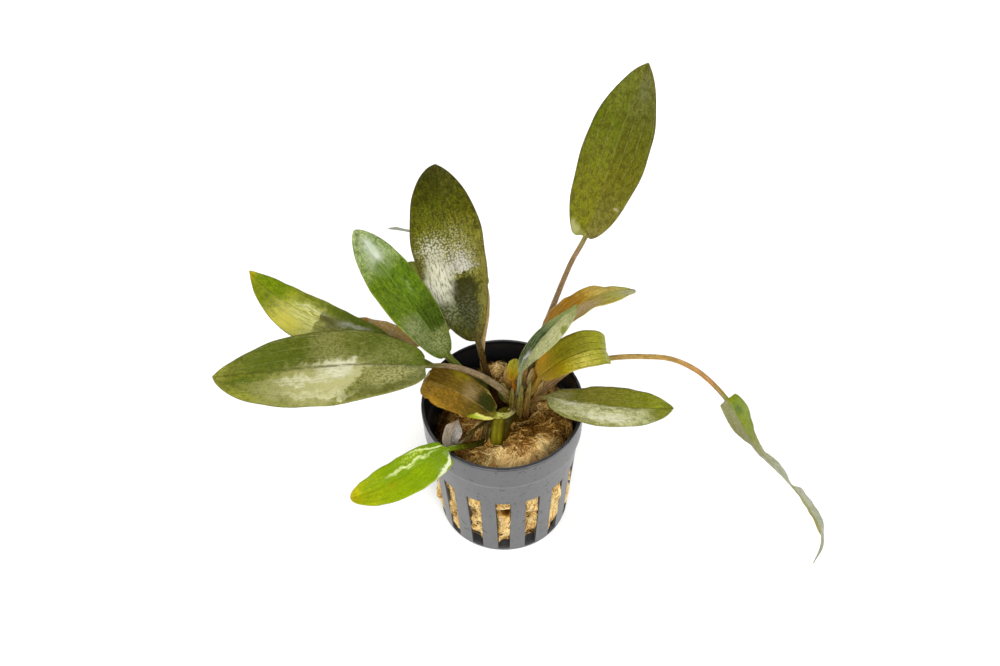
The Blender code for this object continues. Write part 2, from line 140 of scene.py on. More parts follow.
# The wool: heights between which its side begins at the foot and ends at the shoulder, and its top
# takes its shape, the width of its clumps, the slots' part of the wall, how finely it is divided, and
# the seed of its swirls
WOOL_FOOT = (2.5, 5.0)
WOOL_SHOULDER = (33.0, 38.0)
WOOL_SHAPED = (34.0, 38.0)
TOP_FROM = 30.0
# Painted light and shade: the height from which the top takes the painted spots below, and how much lighter the
# side is painted, with painted shade in its hollows
TOP_SHADING_FROM = 32.0
SIDE_TONE = 0.36
CLUMP = 5.2
SLOT_PART = 0.285
WOOL_FACES = 60000
WOOL_SMOOTHINGS = 4
WOOL_SEED = 3
WOOL_COLORS = [(0.3, (82, 54, 22)), (0.52, (134, 96, 44)), (0.72, (192, 150, 80)), (0.9, (228, 192, 120)),
               (1.0, (246, 220, 158))]
WOOL_LIT = 0.55

# The wool's strands: how many there are, the points of each, their radii, the share of loose ones, how
# level the wool's top is at least, and how low they begin
TOP_FRONT_STRANDS = 13000
TOP_BACK_STRANDS = 11000
SIDE_FRONT_STRANDS = 13000
SIDE_BACK_STRANDS = 9000
STRAND_POINTS = 4
STRAND_RADII = (0.06, 0.08, 0.11, 0.16)
LOOSE_SHARE = 0.07
LEVEL = 0.35
STRANDS_FROM = 1.8

# Hollows and swellings of the wool's top: x, y, radius and height
WOOL_TOP = [
    (-11.3, -4.6, 2.0, -4.0), (2.8, -3.2, 1.2, -3.0), (10.5, 15.7, 1.2, -1.8), (-8.4, -7.0, 1.8, -2.0),
    (-1.8, 17.2, 5.4, 5.0), (17.0, 9.4, 3.4, 2.6), (19.5, -5.0, 2.2, -1.6), (6.2, -3.6, 1.7, 1.9),
    (12.0, -9.5, 4.5, 0.8), (3.5, -14.5, 4.0, 0.7), (-2.0, -13.2, 2.6, 1.6), (14.5, -2.0, 2.0, 0.9),
    (-15.5, -9.0, 2.0, 0.9), (8.6, -7.0, 1.3, -1.4), (0.2, -17.5, 1.4, -1.2), (16.5, -12.0, 1.5, -1.2),
]

# Hollows and swellings of the wool's side, in the pot's slots: bearing, height, half width in
# degrees, half height and depth
WOOL_SIDE = [
    (-91, 24.3, 9, 1.6, 5.0), (-119, 21.0, 4, 3.0, 4.0), (-112, 14.0, 4, 1.5, 3.0), (-143, 22.0, 4, 4.0, 4.0),
    (-135, 12.0, 6, 1.2, 3.5), (-71, 17.0, 3, 5.0, 1.5), (-64, 9.5, 4, 1.2, 3.0), (-96, 10.0, 3, 1.2, 2.5),
    (-163, 14.5, 4.5, 7.0, -0.9), (-67, 7.0, 5, 3.0, 4.0), (-117, 6.0, 4, 2.5, 3.0),
    (-13.9, 24.0, 6, 6.0, 3.5),
]

# Painted light and shade on the wool's top, lighter towards the front and on swellings, darker in
# hollows and shadows: x, y, radius and how much lighter
WOOL_LIGHT_AND_SHADE = [
    (4.0, -17.0, 7.0, 0.5), (11.0, -12.0, 6.0, 0.32), (19.0, -4.0, 4.5, -0.2), (4.0, -7.5, 4.0, -0.3),
    (-20.0, 1.0, 6.0, -0.3), (-7.5, -8.0, 3.0, -0.4), (-1.5, 17.0, 5.5, 0.3), (5.0, -1.5, 3.0, -0.15),
    (-11.0, -4.8, 2.8, -0.45), (18.5, 8.5, 3.0, 0.3), (12.0, 2.0, 4.0, -0.2), (9.0, -5.0, 4.0, -0.25),
]

# How finely a leaf is lofted
TOP_STEPS = 32
BLADE_STEP = 0.6
PETIOLE_STEP = 1.1
FEWEST_BLADE_RINGS = 24
FEWEST_PETIOLE_RINGS = 6
TIP_CROWDING = 1.15
DIRECTION_SAMPLES = 120

# What all leaves share: thicknesses, how the petiole swells at the crown and fades into the blade, the
# ripples of the margins, the (strength, share of the length) of their waves, and the veins
BLADE_HALF_THICKNESS = 0.14
TIP_HALF_WIDTH = 0.25
BLADE_END = 0.998
SWELLING = 0.35
SWELLING_LENGTH = 6
STALK_FADE = 0.12
LOBE_FADE = 0.09
RIPPLE = 0.012
NICK_LENGTH = 0.9
WAVES = ((1.0, 1.0), (0.6, 0.61), (0.35, 0.37))
VEIN_SPACING = 0.32

# A cut stub's rings and sides, the share of the light on it, and what all sheaths of the crown share
STUB_RINGS = 40
STUB_SIDES = 32
STUB_LIT = 0.85
SHEATH_LIT = 0.72
SHEATH_SHAPE = dict(blade=0, left=(0.15, 0.6), right=(0.12, 0.5), stalk=(0.6, 0.5), wave=(0.25, 4))

# One entry for each leaf, as in the solid model:
#   start   bearing and height at which the petiole leaves the crown
#   path    points that the petiole and then the midrib pass
#   blade   number of the path point where the blade begins
#   halves  half widths of the blade to the left and right of the midrib
#   left, right  how slowly that side widens from the base and how quickly it narrows to the tip
#   faces   ways that the upper side looks, spread evenly from the blade's base to its tip
#   fold    angle that each half of the blade rises from flat
#   stalk   radius of the petiole at the crown and at the blade
#   wave    height and length of the waves along the margin
# and where the leaf needs it:
#   lobe    how far the base reaches back beside the petiole, to the left and right
#   tip     where along the blade its last ring lies
#   cup     height that the margins rise round the blade's base
#   ragged  depth of the nicks in the margin near the tip, as a share of the width
#   waist   (place, depth, length) of narrow places along the blade
LEAVES = {
    "leaf_left_long": dict(
        start=(172, 48.5),
        path=[(-3, 6, 54.5), (-10, 7.2, 59), (-16.7, 7, 62), (-23.3, 5.2, 64.5), (-37, 4.4, 67),
              (-52, 4, 67), (-70.5, 5.5, 63), (-89.4, 8.3, 57)],
        blade=3, halves=(13.2, 10.8), left=(0.45, 0.69), right=(0.4, 0.84), faces=[(0, -0.35, 1)], fold=8,
        lobe=(4, 4), stalk=(1.3, 0.7), wave=(0.35, 24), tip=0.993),
    "leaf_upper_left": dict(
        start=(178, 45.6),
        path=[(-7, 6.6, 46.4), (-15, 10.3, 51), (-21.5, 12.9, 54.5), (-32.9, 17.9, 57.5), (-46.8, 22.5, 60),
              (-62.5, 30.7, 61), (-70.9, 37.5, 61), (-79.9, 48.3, 60)],
        blade=3, halves=(9.7, 6.0), left=(0.4, 1.05), right=(0.4, 0.7), faces=[(0.1, -0.3, 1)], fold=8,
        stalk=(1.0, 0.8), wave=(0.4, 18)),
    "leaf_left_centre": dict(
        start=(146, 45.4),
        path=[(-7, 9, 50), (-12.3, 10.3, 55), (-16.8, 12, 61), (-21.7, 15.6, 68.5), (-31, 23.3, 80),
              (-44, 37.3, 91)],
        blade=2, halves=(8.0, 7.3), left=(0.48, 0.66), right=(0.45, 0.62), faces=[(0.3, -0.6, 1)], fold=8,
        lobe=(2, 2), stalk=(1.1, 0.8), wave=(0.3, 16)),
    "leaf_centre": dict(
        start=(206, 44.2),
        path=[(-1.4, 3.6, 47.3), (-3.4, 8.2, 51), (-5, 11.8, 54), (-7.2, 19, 59), (-10.2, 26.4, 65),
              (-14, 38.4, 74), (-17.4, 54, 83), (-19.8, 67, 88)],
        blade=3, halves=(12.1, 10.3), left=(0.48, 0.6), right=(0.66, 0.78), faces=[(0, -0.55, 1)], fold=8,
        stalk=(1.3, 0.95), wave=(0.3, 20)),
    "leaf_tall_right": dict(
        start=(66, 48.6),
        path=[(9.5, 15, 54), (16.0, 26, 66), (21.8, 31.5, 81), (26.0, 33.5, 90.5), (31, 40, 104),
              (37, 52, 117), (45.7, 70.3, 127)],
        blade=3, halves=(9.8, 10.2), left=(0.38, 0.78), right=(0.56, 0.88), faces=[(-0.1, -0.65, 1)],
        fold=5, lobe=(7.0, 3.2), stalk=(1.1, 0.75), wave=(0.3, 22), tip=0.993),
    "leaf_arched_right": dict(
        start=(38, 45.2),
        path=[(10.2, 9.3, 53), (11.8, 12.3, 61), (18, 17, 71), (27.2, 21.2, 76), (34.3, 23.6, 76.2),
              (41.2, 26.2, 73.4)],
        blade=1, halves=(6.3, 8.8), left=(0.22, 1.1), right=(0.8, 0.75), faces=[(0, 0.35, 0.93)], fold=10,
        stalk=(1.1, 0.8), wave=(0.35, 14)),
    "leaf_folded": dict(
        start=(0, 50.4),
        path=[(5.2, 4, 54), (5.8, 5, 61), (9.5, 7.1, 69), (15.6, 9.8, 77), (22.8, 14, 82)],
        blade=1, halves=(2.8, 4.0), left=(0.5, 1.4), right=(0.9, 0.7), faces=[(0.1, -0.6, 0.8)], fold=32,
        stalk=(0.8, 0.7), wave=(0.3, 13)),
    "leaf_drooping": dict(
        start=(14, 48.5),
        path=[(9.8, 4.8, 53), (11.6, 5.5, 57), (17.7, 6.2, 64), (24.8, 6.8, 68), (30.2, 9.2, 66.2),
              (31.9, 10.5, 63.6), (31.7, 12.3, 60.4)],
        blade=1, halves=(6.4, 5.3), left=(0.3, 0.45), right=(0.4, 0.3),
        faces=[(0, -0.3, 1), (0, -0.3, 1), (0.6, -0.2, 0.8), (1, 0.1, 0.3)],
        fold=6, stalk=(1.1, 0.8), wave=(0.25, 12)),
    "leaf_right": dict(
        start=(-24, 45.4),
        path=[(9.4, 2.2, 50), (14, 0.1, 54.5), (22, -4.2, 57.5), (31.8, -7.1, 59), (41.4, -7.5, 58),
              (52, -4.6, 54)],
        blade=1, halves=(6.4, 7.5), left=(0.55, 0.65), right=(0.45, 0.85), faces=[(0, -0.15, 1)], fold=6,
        stalk=(1.0, 0.8), wave=(0.3, 17)),
    "leaf_trailing": dict(
        start=(3, 45.2),
        path=[(14.4, 7.8, 49.6), (22.6, 11.6, 54.3), (33, 11.8, 58.1), (43, 9.6, 61.5), (52, 6.7, 63.5),
              (58.8, 3.2, 62.6), (63.4, 0.6, 59.8), (68.2, -3.4, 56), (72.9, -6.4, 47.5),
              (78.6, -10.8, 39.5), (87.4, -15.7, 31), (95.1, -20.6, 21.5), (99.3, -26.2, 14),
              (96.4, -32.3, 8)],
        blade=7, halves=(5.3, 4.6), left=(0.2, 1.0), right=(0.2, 1.0), waist=[(0.3, 0.5, 0.1),
               (0.56, 0.85, 0.05)],
        faces=[(0.3, -0.8, 0.5), (0.75, -0.35, 0.55), (0.76, 0.34, 0.55), (0.8, 0.2, 0.56),
               (0.77, -0.2, 0.6), (0.9, -0.1, 0.3)],
        fold=10, lobe=(1.5, 1.5), stalk=(0.9, 0.75), wave=(0.25, 11)),
    "leaf_curled_brown": dict(
        start=(222, 46.0),
        path=[(0.2, -2.2, 48.2), (-2.6, -3.2, 50.2), (-7.6, -1.0, 53), (-14.4, 1.9, 55.8),
              (-24.0, 6.6, 56)],
        blade=1, halves=(6.9, 6.9), left=(0.45, 0.28), right=(0.46, 0.34), faces=[(0, -0.3, 1)], fold=4,
        stalk=(1.2, 1.1), wave=(0.5, 9), cup=2.0, ragged=0.14),
    "leaf_front_left": dict(
        start=(211, 43.0),
        path=[(-2.3, -3.2, 43.8), (-5.7, -8.8, 44.4), (-9.2, -11.4, 46.2), (-13.0, -15.3, 50.6),
              (-17.2, -19.7, 55.5), (-23, -23.6, 55.5), (-34.6, -28.5, 51), (-46.2, -29.9, 46)],
        blade=4, halves=(7.3, 5.5), left=(0.2, 0.6), right=(0.28, 0.5), faces=[(0.1, -0.2, 1)], fold=10,
        stalk=(1.0, 0.8), wave=(0.35, 12)),
    "leaf_withered": dict(
        start=(184, 42.9),
        path=[(-7.6, -5.2, 47.0), (-12.6, -11.2, 47.8), (-15.6, -13.4, 48.6), (-15.9, -12.0, 51.6),
              (-14.6, -9.6, 53.0), (-13.6, -7.7, 54.2)],
        blade=2, halves=(3.7, 2.4), left=(0.6, 1.0), right=(0.5, 0.9), faces=[(0.3, -0.6, 0.6)], fold=38,
        stalk=(0.6, 0.5), wave=(0.5, 5), ragged=0.1),
    "leaf_behind_centre": dict(
        start=(112, 45.6),
        path=[(-5.8, 15.2, 50.6), (-5.8, 21, 54.5), (-4.1, 32.8, 57), (-4.7, 40.6, 60), (-10.7, 49.4, 64),
              (-22, 56.1, 65.8), (-35.6, 59.6, 66.5)],
        blade=3, halves=(7.6, 7.0), left=(0.45, 0.8), right=(0.45, 0.8), faces=[(0, 0.78, 0.62)], fold=5,
        stalk=(0.8, 0.6), wave=(0.25, 14)),
    "leaf_tan": dict(
        start=(160, 43.0),
        path=[(-9, 11.3, 48), (-14, 14.2, 52), (-19.5, 19.2, 54), (-25, 21.6, 54.8), (-34.8, 24.2, 54.8),
              (-47.5, 31.8, 54.8)],
        blade=3, halves=(4.5, 4.5), left=(0.45, 0.7), right=(0.45, 0.7), faces=[(0, -0.2, 1)], fold=8,
        stalk=(0.8, 0.7), wave=(0.3, 10)),
    "leaf_young": dict(
        start=(96, 49.2),
        path=[(3.2, 8.2, 52.5), (3.8, 10.2, 56), (4.4, 11.9, 58.6)],
        blade=0, halves=(2.2, 2.2), left=(0.5, 0.5), right=(0.5, 0.5), faces=[(0, -0.7, 0.8)], fold=15,
        stalk=(0.6, 0.5), wave=(0.1, 5)),
    "leaf_back": dict(
        start=(134, 43.1),
        path=[(-7.6, 12.6, 47.4), (-16.6, 17.7, 54.4), (-17.9, 22.3, 56), (-16.9, 24.9, 57.5),
              (-22.2, 38.2, 60), (-29.2, 49, 62)],
        blade=3, halves=(6.5, 6.5), left=(0.4, 0.7), right=(0.4, 0.7), faces=[(0, -0.4, 1)], fold=6,
        stalk=(0.9, 0.7), wave=(0.3, 14)),
}

# Petioles of leaves that are gone: the start and path as above with the end sunk in the wool, the
# radius at each end, and colours from the crown to the end
STUBS = {
    "petiole_stub_left": dict(
        start=(240, 45.4),
        path=[(-0.6, -1.6, 48.2), (-1.6, -4.4, 48.2), (-2.1, -7.4, 45.6), (-2.3, -9.6, 42)],
        radius=(1.2, 1.7),
        colors=[(-1, (76, 62, 16)), (-0.6, (122, 112, 24)), (-0.2, (140, 130, 32)), (0, (96, 84, 26))]),
    "petiole_stub_right": dict(
        start=(262, 44.6),
        path=[(2.4, -2.2, 46.6), (0.8, -4.8, 46.8), (0.2, -7.2, 45), (0.1, -8.8, 42)],
        radius=(1.1, 1.2),
        colors=[(-1, (58, 42, 12)), (-0.5, (82, 70, 20)), (0, (64, 50, 14))]),
}

# Bracts and old leaf bases that stand round the petioles on the crown: the same terms as for the
# leaves, and colours from the base to the tip
SHEATHS = {
    "crown_bract_back": dict(
        start=(62, 44),
        path=[(7.9, 7.2, 48), (8.9, 8.8, 52), (9.8, 10.2, 56)],
        halves=(1.3, 1.2), faces=[(0.2, -0.9, 0.3)], fold=-12,
        colors=[(0, (128, 92, 42)), (0.3, (182, 150, 92)), (0.7, (208, 184, 130)), (1, (190, 140, 84))]),
    "crown_bract_right": dict(
        start=(22, 44),
        path=[(10.4, 5.8, 48.2), (14.6, 8.2, 50.6), (20, 10.8, 52.4)],
        halves=(1.7, 1.5), faces=[(0.1, -0.6, 0.8)], fold=-14,
        colors=[(0, (110, 78, 40)), (0.3, (164, 126, 82)), (0.75, (184, 148, 112)), (1, (226, 214, 180))]),
    "crown_bract_middle": dict(
        start=(80, 45),
        path=[(5.9, 7.6, 49), (6.6, 9.0, 53), (7.6, 10.6, 57)],
        halves=(1.1, 1.0), faces=[(0, -0.9, 0.4)], fold=-10,
        colors=[(0, (112, 78, 38)), (0.4, (158, 112, 62)), (1, (196, 150, 100))]),
    "crown_bract_left": dict(
        start=(122, 45),
        path=[(2.6, 7.4, 49.5), (1.6, 8.8, 53), (1.2, 9.8, 56)],
        halves=(1.2, 1.3), faces=[(0, -0.9, 0.4)], fold=-10,
        colors=[(0, (112, 78, 36)), (0.4, (176, 128, 64)), (1, (206, 168, 104))]),
    "crown_bract_olive": dict(
        start=(196, 45),
        path=[(1.6, 3.0, 48.6), (0.6, 5.2, 51.2), (0.2, 7.0, 53)],
        halves=(1.0, 1.0), faces=[(-0.2, -0.8, 0.6)], fold=-16,
        colors=[(0, (88, 72, 24)), (0.5, (118, 112, 44)), (1, (150, 144, 84))]),
    "crown_base_front": dict(
        start=(300, 42.6),
        path=[(7.0, -0.2, 44.8), (7.5, 0.6, 49), (8.6, 4.4, 57)],
        halves=(1.0, 0.9), faces=[(0.2, -1, 0.2)], fold=-18,
        colors=[(0, (84, 44, 16)), (0.25, (120, 84, 34)), (0.6, (142, 112, 58)), (1, (150, 136, 84))]),
    "crown_base_middle": dict(
        start=(272, 42.6),
        path=[(5.0, -0.6, 44.8), (5.2, -0.1, 49), (6.0, 2.6, 57)],
        halves=(0.9, 0.9), faces=[(0, -1, 0.2)], fold=-18,
        colors=[(0, (90, 56, 20)), (0.3, (108, 88, 34)), (0.6, (124, 112, 52)), (1, (138, 132, 76))]),
    "crown_base_left": dict(
        start=(240, 42.6),
        path=[(2.7, 0.0, 44.8), (2.6, 0.7, 48.4), (3.0, 3.4, 55)],
        halves=(0.8, 0.9), faces=[(-0.4, -1, 0.2)], fold=-18,
        colors=[(0, (66, 48, 14)), (0.3, (96, 80, 26)), (0.7, (120, 106, 44)), (1, (140, 128, 66))]),
    "crown_base_right": dict(
        start=(330, 42.8),
        path=[(9.0, 1.4, 45), (10.2, 2.6, 49.4), (13.2, 6.4, 56)],
        halves=(1.0, 0.9), faces=[(0.5, -1, 0.2)], fold=-18,
        colors=[(0, (92, 58, 24)), (0.3, (140, 104, 52)), (0.7, (172, 140, 88)), (1, (196, 170, 120))]),
    "crown_base_dark": dict(
        start=(232, 43.2),
        path=[(-1.6, -2.2, 46.6), (-4.2, -5.6, 47.6), (-5, -8.4, 45.6), (-5, -10, 42)],
        halves=(2.0, 1.8), faces=[(0, -0.4, 1)], fold=-22,
        colors=[(0, (58, 44, 12)), (0.4, (78, 62, 18)), (0.7, (68, 54, 16)), (1, (60, 44, 16))]),
}

# How each leaf is coloured. Places along a leaf run from -1 at the crown over 0 at the blade's base
# to 1 at the tip, and places across it from -1 at the left margin to 1 at the right one.
#   slot     the record's material slot
#   stem     (place, colour) from the crown on, where both halves have the same colours
#   left, right  (place, colour) along each half from there, the right half like the left if not given
#   under    colour of the underside
#   mottle, net, veins, margin  (colour, strength) of blotches, of a net, of the veins and of the edge
#   gloss    roughness and coat
#   lit      share of the stage's light that falls on the leaf
# and where the leaf needs it:
#   midrib   colour and strength of the midrib, in place of the veins'
#   specks   strength of small dark specks
#   net_size, texture  size of the net, and strength of the fine mottling
#   patches  (along, across, half length, half width, turn, colour, strength, softness, grain); with a
#            negative softness the patch begins sharply at its middle and only reaches on to the tip; the
#            near-white ones are painted glare, the lamps' reflections on the wet blade
LOOKS = {
    # Painted glare: the pale cream and near-white patches, the lamps' reflection on the wet blade
    "leaf_left_long": dict(
        slot="leaf_olive",
        stem=[(-1, (120, 100, 45)), (-0.8, (150, 130, 100)), (-0.3, (150, 125, 100))],
        left=[(-0.05, (110, 105, 60)), (0.03, (128, 130, 80)), (0.3, (140, 138, 75)), (0.5, (150, 148, 75)),
              (0.72, (138, 140, 60)), (0.86, (128, 132, 44)), (1, (162, 158, 70))],
        right=[(-0.05, (100, 100, 40)), (0.03, (96, 108, 32)), (0.25, (112, 116, 52)),
               (0.48, (128, 128, 70)), (0.54, (100, 106, 36)), (0.8, (106, 114, 40)), (0.9, (136, 136, 52)),
               (1, (162, 158, 70))],
        under=(135, 140, 90), mottle=((72, 82, 18), 0.6), net=((80, 85, 30), 0.25),
        veins=((172, 172, 112), 0.2), midrib=((84, 88, 38), 0.75), margin=((175, 175, 80), 0.5), specks=0.5,
        patches=[
            (0.2, -0.85, 0.2, 0.18, 6, (88, 90, 26), 0.7, 0.6, "streaks"),
            (0.15, -0.35, 0.16, 0.34, 0, (182, 176, 112), 0.75, 0.8, "speckle"),
            (0.14, 0.4, 0.12, 0.5, 0, (150, 152, 92), 0.4, 0.9, "speckle"),
            (0.24, 0.75, 0.06, 0.25, 0, (70, 82, 12), 0.7, 0.6, "speckle"),
            (0.38, 0.6, 0.1, 0.35, 0, (96, 98, 22), 0.6, 0.8, "streaks"),
            (0.7, 0.4, 0.18, 0.4, 0, (86, 100, 22), 0.6, 0.9, "streaks"),
            (0.41, 0.5, 0.08, 0.55, 0, (146, 144, 88), 0.6, 0.7, "speckle"),
            (0.82, -0.86, 0.13, 0.2, 0, (168, 166, 64), 0.7, 0.8, "streaks"),
            (0.33, -0.45, 0.48, 0.66, 11, (192, 188, 130), 0.9, -0.8, "smooth"),
            (0.32, 0.02, 0.22, 0.16, 8, (216, 214, 180), 0.8, -0.8, "smooth"),
            (0.4, -0.15, 0.1, 0.2, 8, (224, 222, 190), 0.9, 0.8, "streaks"),
            (0.55, -0.3, 0.16, 0.1, 8, (222, 220, 182), 0.8, 0.8, "streaks"),
            (0.48, -0.72, 0.2, 0.1, 8, (222, 220, 172), 0.7, 0.8, "streaks"),
            (0.85, -0.3, 0.07, 0.4, 20, (78, 96, 24), 0.7, 0.7, "streaks"),
        ],
        gloss=(0.34, 0.3), lit=0.7),
    # Painted glare: the near-white patches
    "leaf_upper_left": dict(
        slot="leaf_yellow_green", stem=[(-1, (130, 120, 60))],
        left=[(0, (110, 110, 40)), (0.35, (140, 140, 60)), (0.5, (194, 190, 104)), (0.66, (204, 196, 80)),
              (0.76, (142, 154, 2)), (0.93, (150, 160, 2)), (1, (222, 184, 30))],
        right=[(0, (95, 105, 40)), (0.3, (118, 122, 60)), (0.5, (158, 162, 75)), (0.66, (176, 178, 54)),
               (0.74, (124, 146, 1)), (0.93, (134, 156, 1)), (1, (214, 196, 34))],
        under=(165, 170, 80), mottle=((88, 100, 6), 0.5), net=((100, 105, 30), 0.2),
        veins=((120, 128, 30), 0.35), margin=((190, 188, 50), 0.4),
        patches=[
            (0.3, 0.85, 0.18, 0.4, 0, (82, 98, 10), 0.95, 0.5, "streaks"),
            (0.52, 0.8, 0.22, 0.3, 0, (100, 112, 16), 0.8, 0.7, "streaks"),
            (0.5, 0.3, 0.14, 0.12, 12, (226, 226, 184), 0.8, 0.8, "streaks"),
            (0.26, 0.3, 0.09, 0.35, 15, (178, 180, 160), 0.85, 0.7, "streaks"),
            (0.4, 0.12, 0.09, 0.34, 0, (92, 88, 52), 0.85, 0.7, "streaks"),
            (0.45, -0.1, 0.26, 0.8, 0, (226, 224, 132), 0.95, -0.8, "streaks"),
            (0.58, -0.65, 0.1, 0.4, 0, (215, 205, 80), 0.8, 0.8, "smooth"),
        ],
        gloss=(0.4, 0.05), lit=0.68),
    # Painted glare: the pale tip of both halves, from 0.71 on, and its near-white patches, a veil of the lamps'
    # reflection with a brighter oval
    "leaf_left_centre": dict(
        slot="leaf_deep_green", stem=[(-1, (110, 115, 50))],
        left=[(0, (112, 126, 50)), (0.2, (132, 142, 86)), (0.33, (134, 146, 88)), (0.37, (114, 136, 2)),
              (0.66, (116, 142, 1)), (0.71, (164, 182, 102)), (0.9, (184, 200, 142)), (1, (195, 205, 140))],
        right=[(0, (106, 122, 45)), (0.17, (124, 132, 68)), (0.2, (72, 88, 6)), (0.35, (82, 102, 1)),
               (0.45, (106, 134, 1)), (0.66, (108, 138, 1)), (0.71, (162, 180, 102)),
               (0.9, (180, 198, 142)), (1, (195, 205, 140))],
        under=(130, 150, 90), mottle=((62, 88, 2), 0.6), net=((58, 80, 5), 0.35),
        veins=((158, 178, 80), 0.2), texture=1.3, midrib=((150, 180, 70), 0.3),
        margin=((190, 205, 80), 0.5),
        patches=[
            (0.81, 0.05, 0.15, 0.6, 0, (206, 216, 186), 0.8, 0.9, "smooth"),
            (0.83, 0.1, 0.09, 0.36, 0, (226, 232, 214), 0.8, 0.7, "smooth"),
            (0.84, 0.12, 0.04, 0.16, 0, (196, 208, 176), 0.7, 0.6, "smooth"),
            (0.7, 0.1, 0.07, 0.7, 0, (98, 124, 8), 0.95, 0.8, "streaks"),
            (0.3, -0.6, 0.1, 0.4, 0, (152, 160, 104), 0.7, 0.8, "speckle"),
            (0.1, 0.1, 0.1, 0.9, 0, (164, 168, 112), 0.7, 0.7, "sparkle"),
            (0.53, 0.35, 0.05, 0.15, 20, (160, 182, 110), 0.5, 0.8, "speckle"),
        ],
        gloss=(0.32, 0.16), lit=0.82),
    # Painted glare: the near-white and cream patches across the middle of the blade
    "leaf_centre": dict(
        slot="leaf_dark_olive",
        stem=[(-1, (50, 34, 18)), (-0.5, (58, 40, 22)), (-0.2, (92, 68, 28))],
        left=[(0, (105, 90, 42)), (0.1, (96, 100, 44)), (0.3, (98, 102, 62)), (0.5, (130, 126, 44)),
              (0.65, (118, 120, 16)), (0.78, (102, 104, 24)), (0.9, (86, 86, 24)), (1, (98, 92, 40))],
        right=[(0, (115, 94, 50)), (0.15, (146, 140, 64)), (0.4, (158, 150, 70)), (0.6, (148, 142, 54)),
               (0.72, (114, 112, 14)), (0.82, (108, 108, 36)), (1, (98, 92, 44))],
        under=(110, 105, 65), mottle=((56, 58, 6), 0.7), net=((60, 60, 14), 0.45),
        veins=((82, 80, 36), 0.3), texture=1.8, midrib=((82, 80, 36), 0.3), margin=((150, 125, 70), 0.5),
        specks=0.5,
        patches=[
            (0.22, 0.17, 0.18, 0.5, -4, (62, 63, 29), 0.95, 0.3, "smooth"),
            (0.16, 0.1, 0.16, 0.6, 0, (128, 130, 100), 0.5, 0.8, "sparkle"),
            (0.32, -0.68, 0.11, 0.42, 0, (232, 232, 204), 1.0, 0.7, "streaks"),
            (0.2, -0.6, 0.1, 0.4, 0, (150, 152, 112), 0.7, 0.7, "sparkle"),
            (0.36, -0.2, 0.4, 1.1, 0, (190, 184, 84), 0.7, -0.95, "sparkle"),
            (0.375, 0.15, 0.25, 0.6, 0, (232, 228, 214), 0.8, -0.95, "sparkle"),
            (0.38, -0.5, 0.15, 0.42, 0, (250, 246, 216), 1.0, 0.7, "streaks"),
            (0.52, -0.5, 0.1, 0.4, 0, (226, 222, 196), 0.9, 0.9, "sparkle"),
            (0.28, 0.88, 0.24, 0.2, 0, (142, 134, 58), 0.8, 0.6, "streaks"),
            (0.385, 0.1, 0.1, 0.6, 0, (228, 224, 212), 0.7, -0.8, "streaks"),
            (0.86, -0.1, 0.05, 0.25, 0, (72, 74, 14), 0.7, 0.6, "speckle"),
        ],
        gloss=(0.3, 0.3), lit=0.86),
    "leaf_tall_right": dict(
        slot="leaf_mottled",
        stem=[(-1, (124, 102, 60)), (-0.6, (168, 134, 98)), (-0.1, (182, 146, 106))],
        left=[(0, (175, 175, 90)), (0.06, (156, 154, 26)), (0.35, (140, 140, 12)), (0.6, (124, 132, 16)),
              (0.85, (136, 142, 52)), (1, (146, 144, 60))],
        right=[(0, (165, 150, 80)), (0.12, (152, 144, 58)), (0.35, (136, 132, 30)), (0.6, (120, 122, 36)),
               (0.85, (134, 136, 68)), (1, (142, 136, 68))],
        under=(150, 150, 80), mottle=((96, 90, 14), 0.65), net=((82, 72, 20), 0.45), net_size=1.7,
        veins=((165, 160, 90), 0.25), texture=1.15, margin=((150, 145, 60), 0.35),
        patches=[
            (0.04, -0.85, 0.05, 0.35, 0, (205, 205, 130), 0.8, 0.6, "smooth"),
            (0.2, 0.8, 0.02, 0.16, 0, (200, 190, 140), 0.8, 0.6, "smooth"),
            (0.85, 0.4, 0.1, 0.25, 0, (125, 130, 92), 0.6, 0.8, "speckle"),
        ],
        gloss=(0.42, 0.2), lit=0.95),
    "leaf_arched_right": dict(
        slot="leaf_orange_brown", stem=[(-1, (120, 95, 45))],
        left=[(0, (152, 108, 36)), (0.2, (162, 112, 14)), (0.5, (172, 122, 16)), (0.62, (192, 160, 66)),
              (0.8, (202, 186, 96)), (0.92, (190, 190, 110)), (1, (120, 115, 50))],
        right=[(0, (156, 116, 46)), (0.35, (176, 144, 70)), (0.6, (194, 166, 80)), (0.75, (184, 178, 50)),
               (0.9, (200, 198, 116)), (1, (120, 115, 50))],
        under=(188, 150, 50), mottle=((140, 96, 20), 0.5), net=((140, 105, 40), 0.3),
        veins=((222, 200, 130), 0.3), margin=((228, 218, 160), 0.6),
        patches=[
            (0.3, 0.0, 0.3, 0.8, 0, (166, 116, 20), 0.6, 0.9, "streaks"),
            (0.5, 0.5, 0.15, 0.4, 0, (196, 170, 140), 0.6, 0.8, "speckle"),
            (0.78, 0.35, 0.09, 0.25, 0, (165, 168, 30), 0.7, 0.7, "streaks"),
        ],
        gloss=(0.42, 0.1), lit=0.66, texture=0.8),
    # Painted glare: the pale silver of the right half and the near-white streak at its base; the left half's
    # dark green is partly painted shade, on the side turned from the lamps
    "leaf_folded": dict(
        slot="leaf_silver_green", stem=[(-1, (150, 145, 110))],
        left=[(0, (160, 162, 128)), (0.1, (118, 130, 84)), (0.18, (48, 66, 14)), (0.55, (58, 76, 16)),
              (0.8, (140, 150, 88)), (1, (120, 130, 60))],
        right=[(0, (150, 148, 108)), (0.3, (172, 172, 120)), (0.6, (182, 180, 132)), (0.8, (182, 180, 130)),
               (1, (134, 142, 70))],
        under=(170, 172, 140), mottle=((120, 130, 85), 0.35), net=((120, 130, 90), 0.15),
